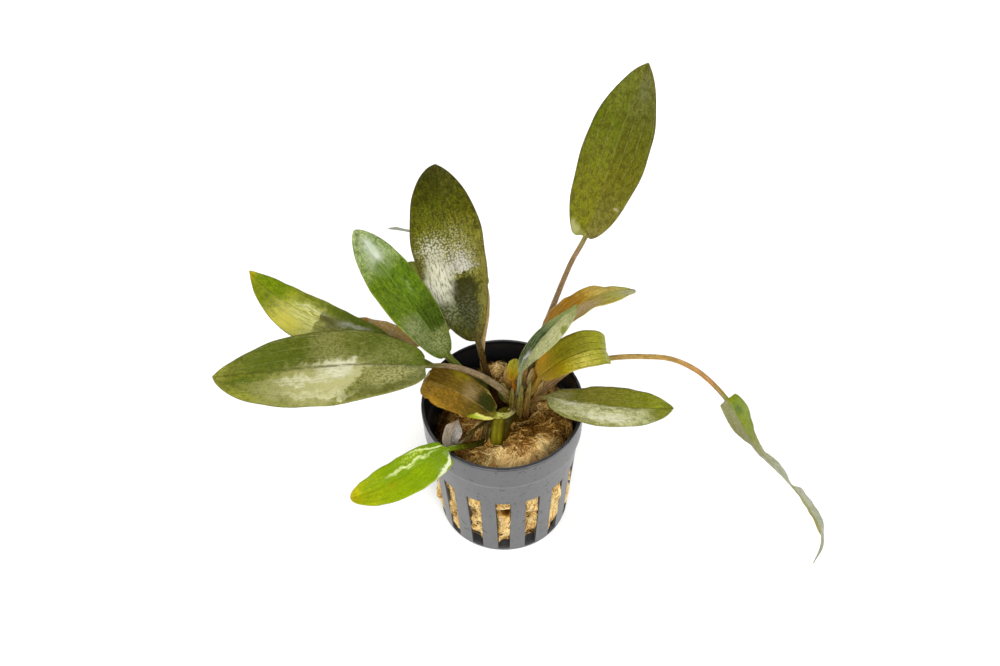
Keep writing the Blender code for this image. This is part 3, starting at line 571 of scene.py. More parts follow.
        veins=((200, 202, 175), 0.3), margin=((205, 205, 150), 0.4),
        patches=[
            (0.2, -0.3, 0.14, 0.3, 0, (206, 206, 196), 0.8, 0.8, "streaks"),
            (0.74, 0.8, 0.05, 0.2, 0, (110, 118, 20), 0.8, 0.4, "smooth"),
        ],
        gloss=(0.42, 0.04), lit=0.64),
    "leaf_drooping": dict(
        slot="leaf_yellow_green", stem=[(-1, (130, 105, 50))],
        left=[(0, (155, 120, 50)), (0.15, (170, 135, 40)), (0.3, (136, 124, 30)), (0.6, (136, 134, 44)),
              (0.8, (158, 160, 42)), (1, (170, 172, 60))],
        right=[(0, (165, 130, 60)), (0.2, (150, 122, 18)), (0.35, (168, 150, 30)), (0.55, (188, 178, 82)),
               (0.8, (178, 178, 60)), (1, (186, 184, 80))],
        under=(195, 190, 130), mottle=((110, 105, 20), 0.4), net=((110, 105, 30), 0.2),
        veins=((84, 82, 22), 0.9), margin=((200, 175, 80), 0.4),
        patches=[
            (0.25, 0.3, 0.12, 0.3, 0, (136, 112, 8), 0.8, 0.6, "streaks"),
            (0.16, -0.75, 0.08, 0.2, 0, (175, 105, 35), 0.7, 0.6, "streaks"),
        ],
        gloss=(0.42, 0.08), lit=0.57, texture=0.9),
    # Painted glare: the right half's pale colours and the near-white patches
    "leaf_right": dict(
        slot="leaf_olive", stem=[(-1, (120, 95, 60)), (-0.3, (125, 95, 60))],
        left=[(0, (106, 98, 50)), (0.2, (112, 106, 46)), (0.5, (122, 118, 44)), (0.85, (138, 142, 36)),
              (1, (136, 142, 46))],
        right=[(0, (134, 132, 84)), (0.1, (178, 176, 128)), (0.4, (202, 200, 152)), (0.72, (196, 196, 146)),
               (0.84, (142, 144, 50)), (1, (136, 142, 46))],
        under=(150, 150, 100), mottle=((88, 92, 22), 0.5), net=((90, 90, 35), 0.2),
        veins=((150, 150, 90), 0.25), midrib=((90, 92, 34), 0.6), margin=((128, 124, 50), 0.6), specks=0.6,
        patches=[
            (0.2, 0.16, 0.16, 0.14, 4, (206, 206, 180), 0.7, 0.9, "streaks"),
            (0.1, -0.4, 0.12, 0.4, 0, (150, 146, 108), 0.6, 0.9, "streaks"),
            (0.3, 0.92, 0.3, 0.14, 0, (118, 116, 34), 0.9, 0.5, "streaks"),
            (0.5, 0.12, 0.3, 0.08, 0, (104, 106, 40), 0.8, 0.7, "streaks"),
            (0.5, 0.55, 0.2, 0.2, 0, (222, 220, 190), 0.6, 0.8, "smooth"),
        ],
        gloss=(0.3, 0.3), lit=0.66),
    "leaf_trailing": dict(
        slot="leaf_grey_green",
        stem=[(-1, (132, 104, 62)), (-0.85, (172, 134, 96)), (-0.7, (190, 168, 90)),
              (-0.4, (215, 175, 105)), (-0.1, (200, 145, 90))],
        left=[(0, (140, 150, 30)), (0.05, (136, 160, 4)), (0.18, (140, 156, 14)), (0.3, (176, 172, 110)),
              (0.5, (206, 208, 184)), (0.7, (202, 200, 176)), (0.85, (196, 196, 186)),
              (1, (150, 150, 130))],
        right=[(0, (160, 158, 112)), (0.1, (156, 152, 104)), (0.25, (164, 160, 118)),
               (0.45, (206, 208, 186)), (0.62, (184, 176, 92)), (0.8, (178, 164, 60)),
               (0.9, (190, 190, 160)), (1, (150, 150, 130))],
        under=(160, 165, 115), mottle=((110, 118, 40), 0.4), net=((110, 120, 60), 0.2),
        veins=((190, 190, 150), 0.3), margin=((200, 195, 140), 0.4),
        patches=[
            (0.07, -0.4, 0.04, 0.3, 0, (84, 106, 4), 0.8, 0.7, "smooth"),
        ],
        gloss=(0.42, 0.06), lit=0.8, texture=0.8),
    "leaf_curled_brown": dict(
        slot="leaf_brown",
        stem=[(-1, (150, 110, 85)), (-0.6, (205, 196, 130)), (-0.1, (222, 218, 120))],
        left=[(0, (140, 135, 40)), (0.1, (92, 80, 16)), (0.28, (116, 94, 30)), (0.45, (146, 110, 38)),
              (0.8, (166, 126, 40)), (1, (180, 140, 58))],
        right=[(0, (120, 120, 30)), (0.08, (52, 54, 6)), (0.22, (64, 58, 14)), (0.34, (118, 100, 54)),
               (0.6, (126, 102, 36)), (0.9, (118, 88, 28)), (1, (132, 100, 44))],
        under=(160, 125, 50), mottle=((84, 60, 12), 0.5), net=((90, 70, 24), 0.35),
        veins=((166, 134, 60), 0.25), midrib=((180, 150, 76), 0.45), margin=((205, 150, 50), 0.5),
        specks=0.6,
        patches=[
            (0.6, 0.8, 0.16, 0.3, 0, (140, 128, 10), 0.7, 0.8, "smooth"),
            (0.75, -0.9, 0.22, 0.22, 0, (200, 150, 48), 0.7, 0.8, "streaks"),
            (0.4, 0.3, 0.12, 0.5, 0, (158, 134, 92), 0.7, 0.8, "streaks"),
            (0.16, 0.4, 0.13, 0.6, 0, (52, 56, 6), 0.95, 0.35, "smooth"),
            (0.14, 0.96, 0.12, 0.06, 0, (168, 166, 84), 0.6, 0.5, "smooth"),
            (0.1, -0.78, 0.13, 0.32, 0, (236, 232, 122), 1.0, 0.4, "smooth"),
            (0.2, -0.95, 0.1, 0.2, 0, (160, 188, 34), 0.8, 0.5, "smooth"),
            (0.985, 0.6, 0.02, 0.5, 0, (214, 204, 150), 0.8, 0.6, "smooth"),
        ],
        gloss=(0.4, 0.1), lit=0.74, texture=1.3),
    # Painted highlights: the near-white and pale green patches of the wet blade; the petiole's near-black
    # colours by the crown are partly painted shade, where it lies low in the wool
    "leaf_front_left": dict(
        slot="leaf_bright_green",
        stem=[(-1, (44, 36, 12)), (-0.5, (50, 46, 12)), (-0.3, (72, 76, 10)), (-0.12, (112, 130, 8))],
        left=[(0, (124, 154, 5)), (0.3, (146, 174, 4)), (0.6, (154, 176, 6)), (0.85, (176, 184, 12)),
              (0.95, (200, 188, 20)), (1, (205, 172, 40))],
        right=[(0, (118, 148, 5)), (0.3, (135, 165, 8)), (0.6, (142, 168, 12)), (0.85, (166, 180, 10)),
               (0.95, (202, 192, 20)), (1, (205, 175, 40))],
        under=(150, 175, 60), mottle=((100, 135, 0), 0.4), net=((110, 140, 5), 0.15),
        veins=((110, 130, 8), 0.3), margin=((205, 215, 60), 0.5),
        patches=[
            (0.09, 0.6, 0.05, 0.5, -35, (228, 238, 165), 0.9, 0.6, "smooth"),
            (0.35, 0.32, 0.3, 0.14, -3, (228, 238, 160), 0.95, 0.6, "streaks"),
            (0.28, 0.66, 0.18, 0.16, 0, (200, 214, 90), 0.8, 0.8, "sparkle"),
            (0.11, -0.78, 0.06, 0.3, 25, (236, 244, 200), 0.95, 0.3, "smooth"),
            (0.58, -0.2, 0.08, 0.25, 0, (160, 150, 10), 0.5, 0.8, "streaks"),
        ],
        gloss=(0.24, 0.25), lit=0.7, texture=0.5),
    "leaf_withered": dict(
        slot="leaf_withered", stem=[(-1, (62, 52, 26)), (-0.2, (84, 72, 38))],
        left=[(0, (150, 135, 100)), (0.3, (176, 156, 140)), (0.7, (182, 158, 140)), (1, (150, 120, 92))],
        right=[(0, (150, 140, 112)), (0.3, (168, 162, 158)), (0.7, (176, 170, 166)), (1, (150, 130, 110))],
        under=(172, 160, 152), mottle=((130, 112, 96), 0.4), net=((120, 105, 95), 0.1),
        veins=((216, 208, 204), 0.8), midrib=((205, 190, 170), 0.6), margin=((214, 200, 184), 0.5),
        gloss=(0.45, 0.15), lit=0.7),
    "leaf_behind_centre": dict(
        slot="leaf_grey_tan",
        left=[(-1, (200, 176, 118)), (-0.3, (222, 188, 124)), (0, (165, 160, 95)), (0.4, (150, 158, 90)),
              (1, (165, 175, 140))],
        under=(175, 182, 150), mottle=((110, 120, 60), 0.4), net=((110, 120, 60), 0.2),
        veins=((190, 195, 160), 0.35), margin=((190, 190, 150), 0.4), gloss=(0.4, 0.2), lit=0.8),
    "leaf_tan": dict(
        slot="leaf_orange_brown",
        left=[(-1, (120, 100, 60)), (0, (175, 140, 85)), (0.5, (205, 175, 125)), (1, (190, 165, 110))],
        under=(200, 175, 130), mottle=((190, 130, 25), 0.8), net=((170, 120, 60), 0.4),
        veins=((225, 205, 165), 0.4), margin=((225, 205, 170), 0.5), gloss=(0.42, 0.15), lit=0.75),
    "leaf_young": dict(
        slot="leaf_young_orange",
        left=[(-1, (175, 95, 30)), (0, (180, 120, 30)), (0.4, (190, 165, 30)), (1, (175, 170, 60))],
        under=(185, 160, 80), mottle=((150, 100, 10), 0.4), net=((150, 110, 20), 0.2),
        veins=((215, 195, 90), 0.4), margin=((215, 205, 120), 0.5), gloss=(0.35, 0.3), lit=0.75),
    "leaf_back": dict(
        slot="leaf_yellow_green",
        left=[(-1, (120, 115, 50)), (0, (165, 168, 60)), (0.5, (150, 160, 40)), (1, (150, 158, 70))],
        under=(165, 170, 100), mottle=((105, 115, 20), 0.45), net=((105, 112, 30), 0.25),
        veins=((190, 192, 110), 0.4), margin=((190, 190, 90), 0.4), gloss=(0.38, 0.25), lit=0.75),
}


# Materials

def paint(color, lit=1.0):
    """Albedo that shows as this display colour, in bytes, where this share of the stage's light falls."""
    linear = [c / 3294.6 if c < 10.3 else ((c / 255 + 0.055) / 1.055) ** 2.4 for c in color]
    return (*(min(LIGHTEST, max(DARKEST, x - GLOSS) / (LIGHT * lit)) for x in linear), 1.0)


class Finish:
    """A material's node tree, with short calls for the nodes that it needs."""

    def __init__(self, name, **values):
        self.material = bpy.data.materials.new(name)
        self.material.use_nodes = True
        self.nodes = self.material.node_tree.nodes
        self.links = self.material.node_tree.links
        self.shader = self.nodes["Principled BSDF"]
        self.surface(**values)

    def put(self, socket, value):
        if isinstance(value, bpy.types.NodeSocket):
            self.links.new(value, socket)
        else:
            socket.default_value = value

    def surface(self, **values):
        for key, value in values.items():
            self.put(self.shader.inputs[key.replace("_", " ").title().replace("Ior", "IOR")], value)

    def node(self, kind, inputs=(), output=0, **settings):
        made = self.nodes.new("ShaderNode" + kind)
        for key, value in settings.items():
            setattr(made, key, value)
        for key, value in dict(inputs).items():
            self.put(made.inputs[key], value)
        return made.outputs[output]

    def attribute(self, name, output="Vector"):
        return self.node("Attribute", output=output, attribute_name=name)

    def math(self, operation, *values):
        return self.node("Math", enumerate(values), operation=operation)

    def times(self, value, *others):
        """The product of all the values."""
        for other in others:
            value = self.math("MULTIPLY", value, other)
        return value

    def scaled_up(self, value, factor, base):
        """The value times the factor, plus the base."""
        return self.math("MULTIPLY_ADD", value, factor, base)

    def vector(self, operation, *values, output="Vector"):
        return self.node("VectorMath", enumerate(values), output=output, operation=operation)

    def axes(self, vector):
        made = self.nodes.new("ShaderNodeSeparateXYZ")
        self.put(made.inputs[0], vector)
        return made.outputs

    def mapped(self, vector, scale, at=(0, 0, 0), turn=0.0, kind="POINT"):
        settings = {"Vector": vector, "Location": at, "Rotation": (0, 0, math.radians(turn)), "Scale": scale}
        return self.node("Mapping", settings, vector_type=kind)

    def noise(self, at, scale, detail=2.0, rough=0.55, output=0):
        inputs = {"Vector": at, "Scale": scale, "Detail": detail, "Roughness": rough}
        return self.node("TexNoise", inputs, output=output)

    def cells(self, at, scale, **settings):
        return self.node("TexVoronoi", {"Vector": at, "Scale": scale}, output="Distance", **settings)

    def between(self, value, low, high, start=0.0, end=1.0):
        """0 below low and 1 above high, with a smooth step between, or start and end in place of 0 and 1."""
        places = {"Value": value, "From Min": low, "From Max": high, "To Min": start, "To Max": end}
        return self.node("MapRange", places, interpolation_type="SMOOTHSTEP")

    def mix(self, share, first, second, blend="MIX"):
        inputs = {0: share, 6: first, 7: second}
        return self.node("Mix", inputs, output=2, data_type="RGBA", blend_type=blend)

    def dyed(self, share, color, factors):
        """The colour, multiplied by these factors where share is 1."""
        return self.mix(share, color, (*factors, 1), "MULTIPLY")

    def ramp(self, share, stops):
        made = self.nodes.new("ShaderNodeValToRGB")
        self.put(made.inputs[0], share)
        elements = made.color_ramp.elements
        while len(elements) < len(stops):
            elements.new(0.5)
        for element, (place, color) in zip(elements, stops):
            element.position = place
            element.color = color
        return made.outputs[0]

    def bump(self, height, depth, strength=1.0):
        return self.node("Bump", {"Height": height, "Distance": depth * MM, "Strength": strength})


class LeafFinish(Finish):
    """A leaf's colours, veins, blotches and patches, the near-white ones painted glare, on the leaf's own
    places in millimetres.
    """

    def __init__(self, name, look, seed):
        roughness, coat = look["gloss"]
        super().__init__(name, coat_weight=coat, coat_roughness=0.15, specular_ior_level=0.22)
        self.look = look
        self.texture = look.get("texture", 1.0)
        self.place = self.attribute("leaf_place")
        self.along, self.across, self.side = self.axes(self.place)
        self.aside = self.math("ABSOLUTE", self.across)
        self.blade = self.between(self.along, -0.01, 0.03)
        self.spot = self.attribute("leaf_mm")
        self.flat = self.mapped(self.spot, (1, 1, 0), at=(37.0 * seed, 11.0 * seed, 0))
        self.broad = self.noise(self.flat, 0.16, 3)
        self.cloud = self.noise(self.flat, 0.5, 4, 0.65)
        self.fine = self.noise(self.flat, 1.3, 3, 0.6)
        self.spark = self.noise(self.mapped(self.flat, (0.8, 1, 1)), 1.55, 1.5, 0.6)
        self.grain = self.noise(self.flat, 3.2, 2, 0.6)
        self.streak = self.noise(self.mapped(self.flat, (0.22, 1, 1)), 1.7, 3, 0.6)
        self.color = self.halves()
        self.add_threads()
        self.add_blotches()
        self.add_net()
        self.add_veins()
        self.add_patches()
        self.add_edges()
        rough = self.math("ADD", self.fine, self.times(self.streak, 0.5))
        rough = self.between(rough, 0.5, 1.0, roughness - 0.08, roughness + 0.14)
        self.surface(base_color=self.color, roughness=rough, normal=self.bump(self.relief(), 0.22, 0.5))

    def lay(self, tint, *shares):
        """Lays a display colour over the leaf, where the product of the shares is 1."""
        self.color = self.mix(self.times(*shares), self.color, paint(tint, self.look["lit"]))

    def dye(self, factors, *shares):
        """Multiplies the leaf's colour by these factors, where the product of the shares is 1."""
        self.color = self.dyed(self.times(*shares), self.color, factors)

    def halves(self):
        """Colours along the left half and the right one, with ragged borders."""
        ragged = self.scaled_up(self.fine, 0.12, self.scaled_up(self.broad, 0.12, -0.12))
        along = self.scaled_up(self.math("ADD", self.along, ragged), 0.5, 0.5)
        ramps = []
        for half in [self.look[key] for key in ("left", "right") if key in self.look]:
            stops = self.look.get("stem", []) + half
            ramps.append(self.ramp(along, [((t + 1) / 2, paint(c, self.look["lit"])) for t, c in stops]))
        if len(ramps) == 1:
            return ramps[0]
        wander = self.scaled_up(self.broad, 0.2, -0.1)
        return self.mix(self.between(self.math("ADD", self.across, wander), -0.06, 0.06), *ramps)

    def add_threads(self):
        """Dark and pale threads along the petiole."""
        petiole = self.math("SUBTRACT", 1.0, self.blade)
        thread = self.noise(self.mapped(self.spot, (0.1, 1, 0)), 2.6, 3, 0.65)
        self.dye((0.5, 0.46, 0.36), self.between(thread, 0.4, 0.52, 0.6, 0.0), petiole)
        self.dye((1.6, 1.6, 1.6), self.between(thread, 0.54, 0.64, 0.0, 0.6), petiole)

    def add_blotches(self):
        """Blotches, darker and lighter places from broad to fine, and small painted glints."""
        tint, strength = self.look["mottle"]
        blotch = self.scaled_up(self.fine, 0.5, self.cloud)
        self.lay(tint, self.between(blotch, 0.74, 0.88, 0.0, strength), self.blade)
        self.dye((0.6, 0.68, 0.45), self.between(self.broad, 0.35, 0.65, 0.35, 0.0))
        self.dye((1.35, 1.3, 1.15), self.between(self.cloud, 0.5, 0.66, 0.0, 0.5))
        self.dye((0.55, 0.6, 0.4), self.between(self.streak, 0.38, 0.56, 0.4 * self.texture, 0.0))
        self.dye((0.5, 0.54, 0.36), self.between(self.fine, 0.38, 0.47, 0.45 * self.texture, 0.0))
        # Painted glints: small whitish spots, the sheen of a wet surface
        self.dye((1.7, 1.65, 1.7), self.between(self.spark, 0.54, 0.62, 0.0, 0.35 * self.texture))

    def add_net(self):
        """A net between the veins, and a finer crackle."""
        tint, strength = self.look["net"]
        size = self.look.get("net_size", 1.0)
        warp = self.noise(self.flat, 0.5 / size, 1, 0.5, output="Color")
        base = self.mapped(self.flat, (0.5 / size, 0.75 / size, 1))
        bent = self.vector("MULTIPLY_ADD", warp, (1.6, 1.6, 0), base)
        self.edge = self.cells(bent, 1.0, feature="DISTANCE_TO_EDGE")
        net = self.between(self.scaled_up(self.fine, 0.3, self.edge), 0.15, 0.25, 1.0, 0.0)
        shown = self.between(self.noise(self.flat, 0.45, 2), 0.4, 0.55, 0.2, 1.0)
        self.lay(tint, net, shown, strength, self.blade)
        small = self.cells(bent, 2.3 * size, feature="DISTANCE_TO_EDGE")
        crackle = self.between(small, 0.02, 0.12, 0.4 * self.texture, 0.0)
        self.dye((0.55, 0.58, 0.4), crackle, self.between(self.cloud, 0.4, 0.55), self.blade)

    def add_veins(self):
        """Long veins beside the midrib, with thinner ones between them."""
        tint, strength = self.look["veins"]
        self.broken = self.between(self.streak, 0.35, 0.55, 0.1, 1.0)
        vein_place = self.scaled_up(self.cloud, 0.07, self.axes(self.spot)[2])
        vein_at = self.math("DIVIDE", vein_place, VEIN_SPACING)
        to_vein = self.math("PINGPONG", vein_at, 0.5)
        self.main_vein = self.times(self.between(to_vein, 0.01, 0.08, 1.0, 0.0), self.broken)
        to_thin = self.math("PINGPONG", self.times(vein_at, 4), 0.5)
        thin_shown = self.between(self.streak, 0.45, 0.58)
        self.thin_vein = self.times(self.between(to_thin, 0.05, 0.3, 0.3, 0.0), thin_shown)
        vein = self.math("MAXIMUM", self.main_vein, self.thin_vein)
        self.vein = self.times(vein, self.between(self.aside, 0.08, 0.14), self.blade)
        self.lay(tint, self.vein, strength)

    def add_patches(self):
        """Patches of painted glare, of dirt or of another colour, each with its own grain."""
        sway = self.vector("SUBTRACT", self.noise(self.flat, 0.33, 3, 0.5, output="Color"), (0.5, 0.5, 0.5))
        loose = self.vector("MULTIPLY_ADD", sway, (0.1, 0.7, 0), self.place)
        drops = self.cells(self.flat, 1.35, voronoi_dimensions="2D")
        for t, v, long, wide, turn, tint, strength, soft, kind in self.look.get("patches", []):
            shape = self.mapped(loose, (long, wide, 1000), at=(t, v, 0), turn=turn, kind="TEXTURE")
            fray = 0.5 if kind == "smooth" else 1.1
            frayed = self.scaled_up(self.streak if kind == "streaks" else self.fine, fray, -0.5 * fray)
            far = self.math("ADD", self.vector("LENGTH", shape, output="Value"), frayed)
            mask = self.between(far, 1 - abs(soft), 1 + 0.3 * abs(soft), strength, 0.0)
            if soft < 0:
                onward = self.scaled_up(self.fine, 0.14, self.axes(shape)[0])
                mask = self.times(mask, self.between(onward, 0.04, 0.1))
            if kind == "streaks":
                mask = self.times(mask, self.between(self.streak, 0.38, 0.54, 0.2, 1.0))
            elif kind == "speckle":
                mask = self.times(mask, self.between(self.spark, 0.42, 0.54, 0.1, 1.0))
            elif kind == "sparkle":
                # Drop-shaped spots: with the pale colours that use this grain, painted glints of wet drops
                size = self.scaled_up(mask, 0.22, self.times(self.cloud, 0.6))
                jagged = self.scaled_up(self.grain, 0.3, -0.15)
                inside = self.math("ADD", self.math("SUBTRACT", size, drops), jagged)
                mask = self.times(mask, self.between(inside, -0.04, 0.07, 0.1, 1.0))
            self.lay(tint, mask)

    def add_edges(self):
        """The veins once more over the patches, then the midrib, specks, margin and underside."""
        tint, strength = self.look["veins"]
        self.lay(tint, self.vein, 0.6 * strength)
        tint, strength = self.look.get("midrib", self.look["veins"])
        self.lay(tint, self.between(self.aside, 0.015, 0.05, strength, 0.0), self.broken, self.blade)
        speck = self.between(self.noise(self.flat, 1.7, 1), 0.68, 0.73, 0.0, self.look.get("specks", 0.4))
        self.lay((62, 50, 18), speck, self.blade)
        tint, strength = self.look["margin"]
        self.lay(tint, self.between(self.aside, 0.93, 0.985, 0.0, strength), self.blade)
        self.lay(self.look["under"], self.between(self.side, 0.2, -0.2, 0.0, 0.6), self.blade)

    def relief(self):
        """Sunken veins, a raised net and fine bumps, weaker on the petiole."""
        relief = self.scaled_up(self.main_vein, -0.8, self.times(self.fine, 0.8))
        relief = self.scaled_up(self.thin_vein, -0.4, self.scaled_up(self.edge, 0.5, relief))
        relief = self.scaled_up(self.cloud, 1.5, relief)
        return self.times(relief, self.scaled_up(self.blade, 0.8, 0.2))


def plastic_finish():
    """Satin black plastic with dirt specks and fine scratches, and painted shade and painted highlights on its
    rim, band and inner wall.
    """
    f = Finish("pot_plastic")
    spot = f.node("TexCoord", output="Object")
    x, _, z = f.axes(spot)
    haze = f.noise(spot, 90, 4, 0.6)
    right = f.between(x, 0.002, 0.018, 0.0, 0.03)
    large = f.between(f.math("ADD", f.noise(spot, 560, 1), right), 0.665, 0.69)
    small = f.between(f.math("ADD", f.noise(spot, 1050, 1), right), 0.69, 0.72, 0.0, 0.8)
    dirt = f.math("MAXIMUM", large, small)

    flat = f.mapped(spot, (1, 1, 0))
    reach = f.vector("LENGTH", flat, output="Value")
    # Painted highlights: a thin pale line on the rim's outer edge and one just above the band's step, broken up
    # by the haze
    rim_highlight = f.times(f.between(reach, (RIM_RADIUS - 0.16) * MM, (RIM_RADIUS - 0.06) * MM),
                       f.between(z, (POT_HEIGHT - 0.5) * MM, (POT_HEIGHT - 0.3) * MM))
    above_step = f.math("SUBTRACT", z, (POT_HEIGHT - BAND_HEIGHT) * MM)
    to_line = f.math("ABSOLUTE", f.math("SUBTRACT", above_step, 0.6 * MM))
    step_highlight = f.between(to_line, 0.3 * MM, 0.7 * MM, 0.75, 0.0)
    painted_highlights = f.times(f.math("MAXIMUM", rim_highlight, step_highlight), f.between(haze, 0.3, 0.6, 0.3, 1.0))
    rim_from, rim_to = (POT_HEIGHT - 1.2) * MM, (POT_HEIGHT - 0.7) * MM
    outward = f.vector("DOT_PRODUCT", flat, f.node("NewGeometry", output="Normal"), output="Value")

    color = f.mix(f.between(haze, 0.3, 0.75), (0.042, 0.042, 0.0445, 1), (0.066, 0.066, 0.069, 1))
    color = f.dyed(f.between(f.noise(spot, 1500, 2, 0.7), 0.4, 0.6, 0.35, 0.0), color, (0.6, 0.6, 0.62))
    # Painted light: the wall below the band's step is painted lighter than the band, for the brighter floor
    # that it mirrors
    wall_color = f.dyed(1.0, color, (1.2, 1.2, 1.2))
    color = f.mix(f.between(above_step, -0.5 * MM, 0.5 * MM), wall_color, color)
    # Painted shade: the rim's top is painted near black, the dark that it mirrors from above
    color = f.mix(f.between(z, rim_from, rim_to, 0.0, 0.8), color, (0.012, 0.012, 0.013, 1))
    # The painted highlight lines, in pale grey
    color = f.mix(painted_highlights, color, (0.13, 0.13, 0.138, 1))
    color = f.mix(f.times(dirt, 0.9), color, (0.004, 0.004, 0.003, 1))
    # Painted shade: the inner wall, which faces in, is painted near black
    color = f.mix(f.between(outward, -12 * MM, -6 * MM, 0.85, 0.0), color, (0.004, 0.004, 0.005, 1))
    scratch = f.noise(f.mapped(spot, (1, 1, 0.12)), 1400, 3)
    relief = f.math("ADD", f.times(scratch, 1.2), f.times(dirt, 1.5))
    f.surface(base_color=color, roughness=f.between(haze, 0.25, 0.8, 0.28, 0.42),
              normal=f.bump(relief, 0.05, 0.4), specular_ior_level=f.between(z, rim_from, rim_to, 0.62, 0.25))
    return f.material


def wool_finish():
    """Golden brown mineral fibre, lighter and darker from strand to strand and from lump to lump, with painted
    light and shade carried in from the strand values.
    """
    f = Finish("rock_wool", specular_ior_level=0.2)
    spot = f.node("TexCoord", output="Object")
    fine = f.noise(spot, 1100, 3, 0.7)
    share = f.math("ADD", f.times(f.attribute("strand", "Fac"), 0.85), f.times(f.noise(spot, 190, 3), 0.45))
    share = f.scaled_up(fine, 0.3, f.math("ADD", share, 0.1))
    color = f.ramp(share, [(place, paint(tint, WOOL_LIT)) for place, tint in WOOL_COLORS])
    color = f.dyed(f.between(f.noise(spot, 75, 2), 0.5, 0.66, 0.0, 0.4), color, (0.85, 0.62, 0.42))
    f.surface(base_color=color, roughness=0.6, normal=f.bump(fine, 0.15, 0.5))
    return f.material


def crown_finish():
    """Ribbed brown tissue, its colours in order from the bottom up."""
    f = Finish("crown_tissue", specular_ior_level=0.3)
    spot = f.node("TexCoord", output="Object")
    fibre = f.noise(f.mapped(spot, (1, 1, 0.15)), 900, 3)
    low, high = CROWN_COLORS[0][0] * MM, CROWN_COLORS[-1][0] * MM
    stops = [((z * MM - low) / (high - low), paint(tint, CROWN_LIT)) for z, tint in CROWN_COLORS]
    color = f.ramp(f.between(f.axes(spot)[2], low, high), stops)
    color = f.mix(f.between(fibre, 0.35, 0.7, 0.0, 0.6), color, paint((60, 45, 15)))
    f.surface(base_color=color, roughness=0.4, normal=f.bump(fibre, 0.25, 0.6))
    return f.material


# Meshes

def add_object(name, points, faces, finish, attributes=()):
    """A smooth mesh object from points in millimetres, with named values at its points."""
    mesh = bpy.data.meshes.new(name)
    mesh.from_pydata((np.asarray(points) * MM).tolist(), [], faces)
    mesh.shade_smooth()
    for key, values in dict(attributes).items():
        values = np.asarray(values, np.float32)
        single = values.ndim == 1
        layer = mesh.attributes.new(key, "FLOAT" if single else "FLOAT_VECTOR", "POINT")
        layer.data.foreach_set("value" if single else "vector", values.ravel())
    mesh.materials.append(finish)
    obj = bpy.data.objects.new(name, mesh)
    bpy.context.scene.collection.objects.link(obj)
    return obj


def settle(obj, slot, *nodes):
    """The piece rides with the plant and its pot, and stands for these nodes."""
    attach(obj, BODY)
    if nodes:
        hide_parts(*nodes)


def loft_faces(rings, sides):
    """Faces that join closed rings of points, with both ends closed."""
    i = np.arange(sides)
    j = (i + 1) % sides
    low = (np.arange(rings - 1) * sides)[:, None]
    quads = np.stack([low + i, low + j, low + sides + j, low + sides + i], -1).reshape(-1, 4)
    return quads.tolist() + [i[::-1].tolist(), ((rings - 1) * sides + i).tolist()]


def rows_of(*values):
    """These values side by side at each point, spread to one shape."""
    return np.stack(np.broadcast_arrays(*values), -1).reshape(-1, len(values))


# Leaves

def smooth_curve(points, steps=12):
    """A smooth curve through the points, with its bends spread over the spans beside them."""
    points = np.array(points, float)
    spans = np.linalg.norm(np.diff(points, axis=0), axis=1) ** 0.75
    slopes = np.diff(points, axis=0) / spans[:, None]
    at = np.empty_like(points)
    for i in range(1, len(points) - 1):
        before, after = spans[i - 1], spans[i]
        at[i] = (slopes[i - 1] * after + slopes[i] * before) / (before + after)
    at[0] = 2 * slopes[0] - at[1]
    at[-1] = 2 * slopes[-1] - at[-2]
    curve = []
    for i, span in enumerate(spans):
        for s in np.arange(steps) / steps:
            curve.append(
                (2 * s**3 - 3 * s**2 + 1) * points[i]
                + (s**3 - 2 * s**2 + s) * span * at[i]
                + (3 * s**2 - 2 * s**3) * points[i + 1]
                + (s**3 - s**2) * span * at[i + 1]
            )
    curve.append(points[-1])
    return np.array(curve)


def spread(at, known_at, known):
    """Vectors at these places, read between the known ones."""
    return np.stack([np.interp(at, known_at, known[:, axis]) for axis in range(3)], axis=1)


def along(curve, distances):
    """Points of the curve at these distances from its start."""
    run = np.concatenate([[0.0], np.cumsum(np.linalg.norm(np.diff(curve, axis=0), axis=1))])
    return spread(distances, run, curve)


def length_of(curve):
    return float(np.linalg.norm(np.diff(curve, axis=0), axis=1).sum())


def blade_profile(t, base, tip):
    """Half width along the blade as a share of its widest."""
    every = np.linspace(0, 1, 201)
    widest = (every**base * (1 - every**2) ** tip).max()
    return t**base * (1 - t**2) ** tip / widest


def unit(vectors):
    return vectors / np.linalg.norm(vectors, axis=-1)[..., None]


def ease(x, low, high):
    """0 below low and 1 above high, with a smooth step between."""
    share = np.clip((np.asarray(x, float) - low) / (high - low), 0, 1)
    return share * share * (3 - 2 * share)


def crown_radius(z):
    """Radius of the crown, widest a third of the way up and rounded over at the top."""
    share = (z - CROWN_BOTTOM) / (CROWN_TOP - CROWN_BOTTOM)
    taper = CROWN_RADIUS + (CROWN_TIP_RADIUS - CROWN_RADIUS) * share ** 2
    return taper * (0.8 + 0.2 * math.sin(math.pi * min(share * 1.5, 0.5 + share / 2)))


def leaf_start(bearing, height, radius):
    """Where a petiole leaves the crown, or its top."""
    reach = crown_radius(height) + GAP + radius - ROOTED if height < CROWN_TOP else 0.0
    angle = math.radians(bearing)
    return (CROWN_X + reach * math.cos(angle), CROWN_Y + reach * math.sin(angle), height)


def curve_frame(curve, distances, looks):
    """Middles, sides, normals and tangents of rings at these distances along a curve."""
    every = np.linspace(0, length_of(curve), DIRECTION_SAMPLES)
    tangents = unit(spread(distances, every, np.gradient(along(curve, every), axis=0)))
    sides = unit(np.cross(tangents, looks))
    return along(curve, distances), sides, np.cross(sides, tangents), tangents


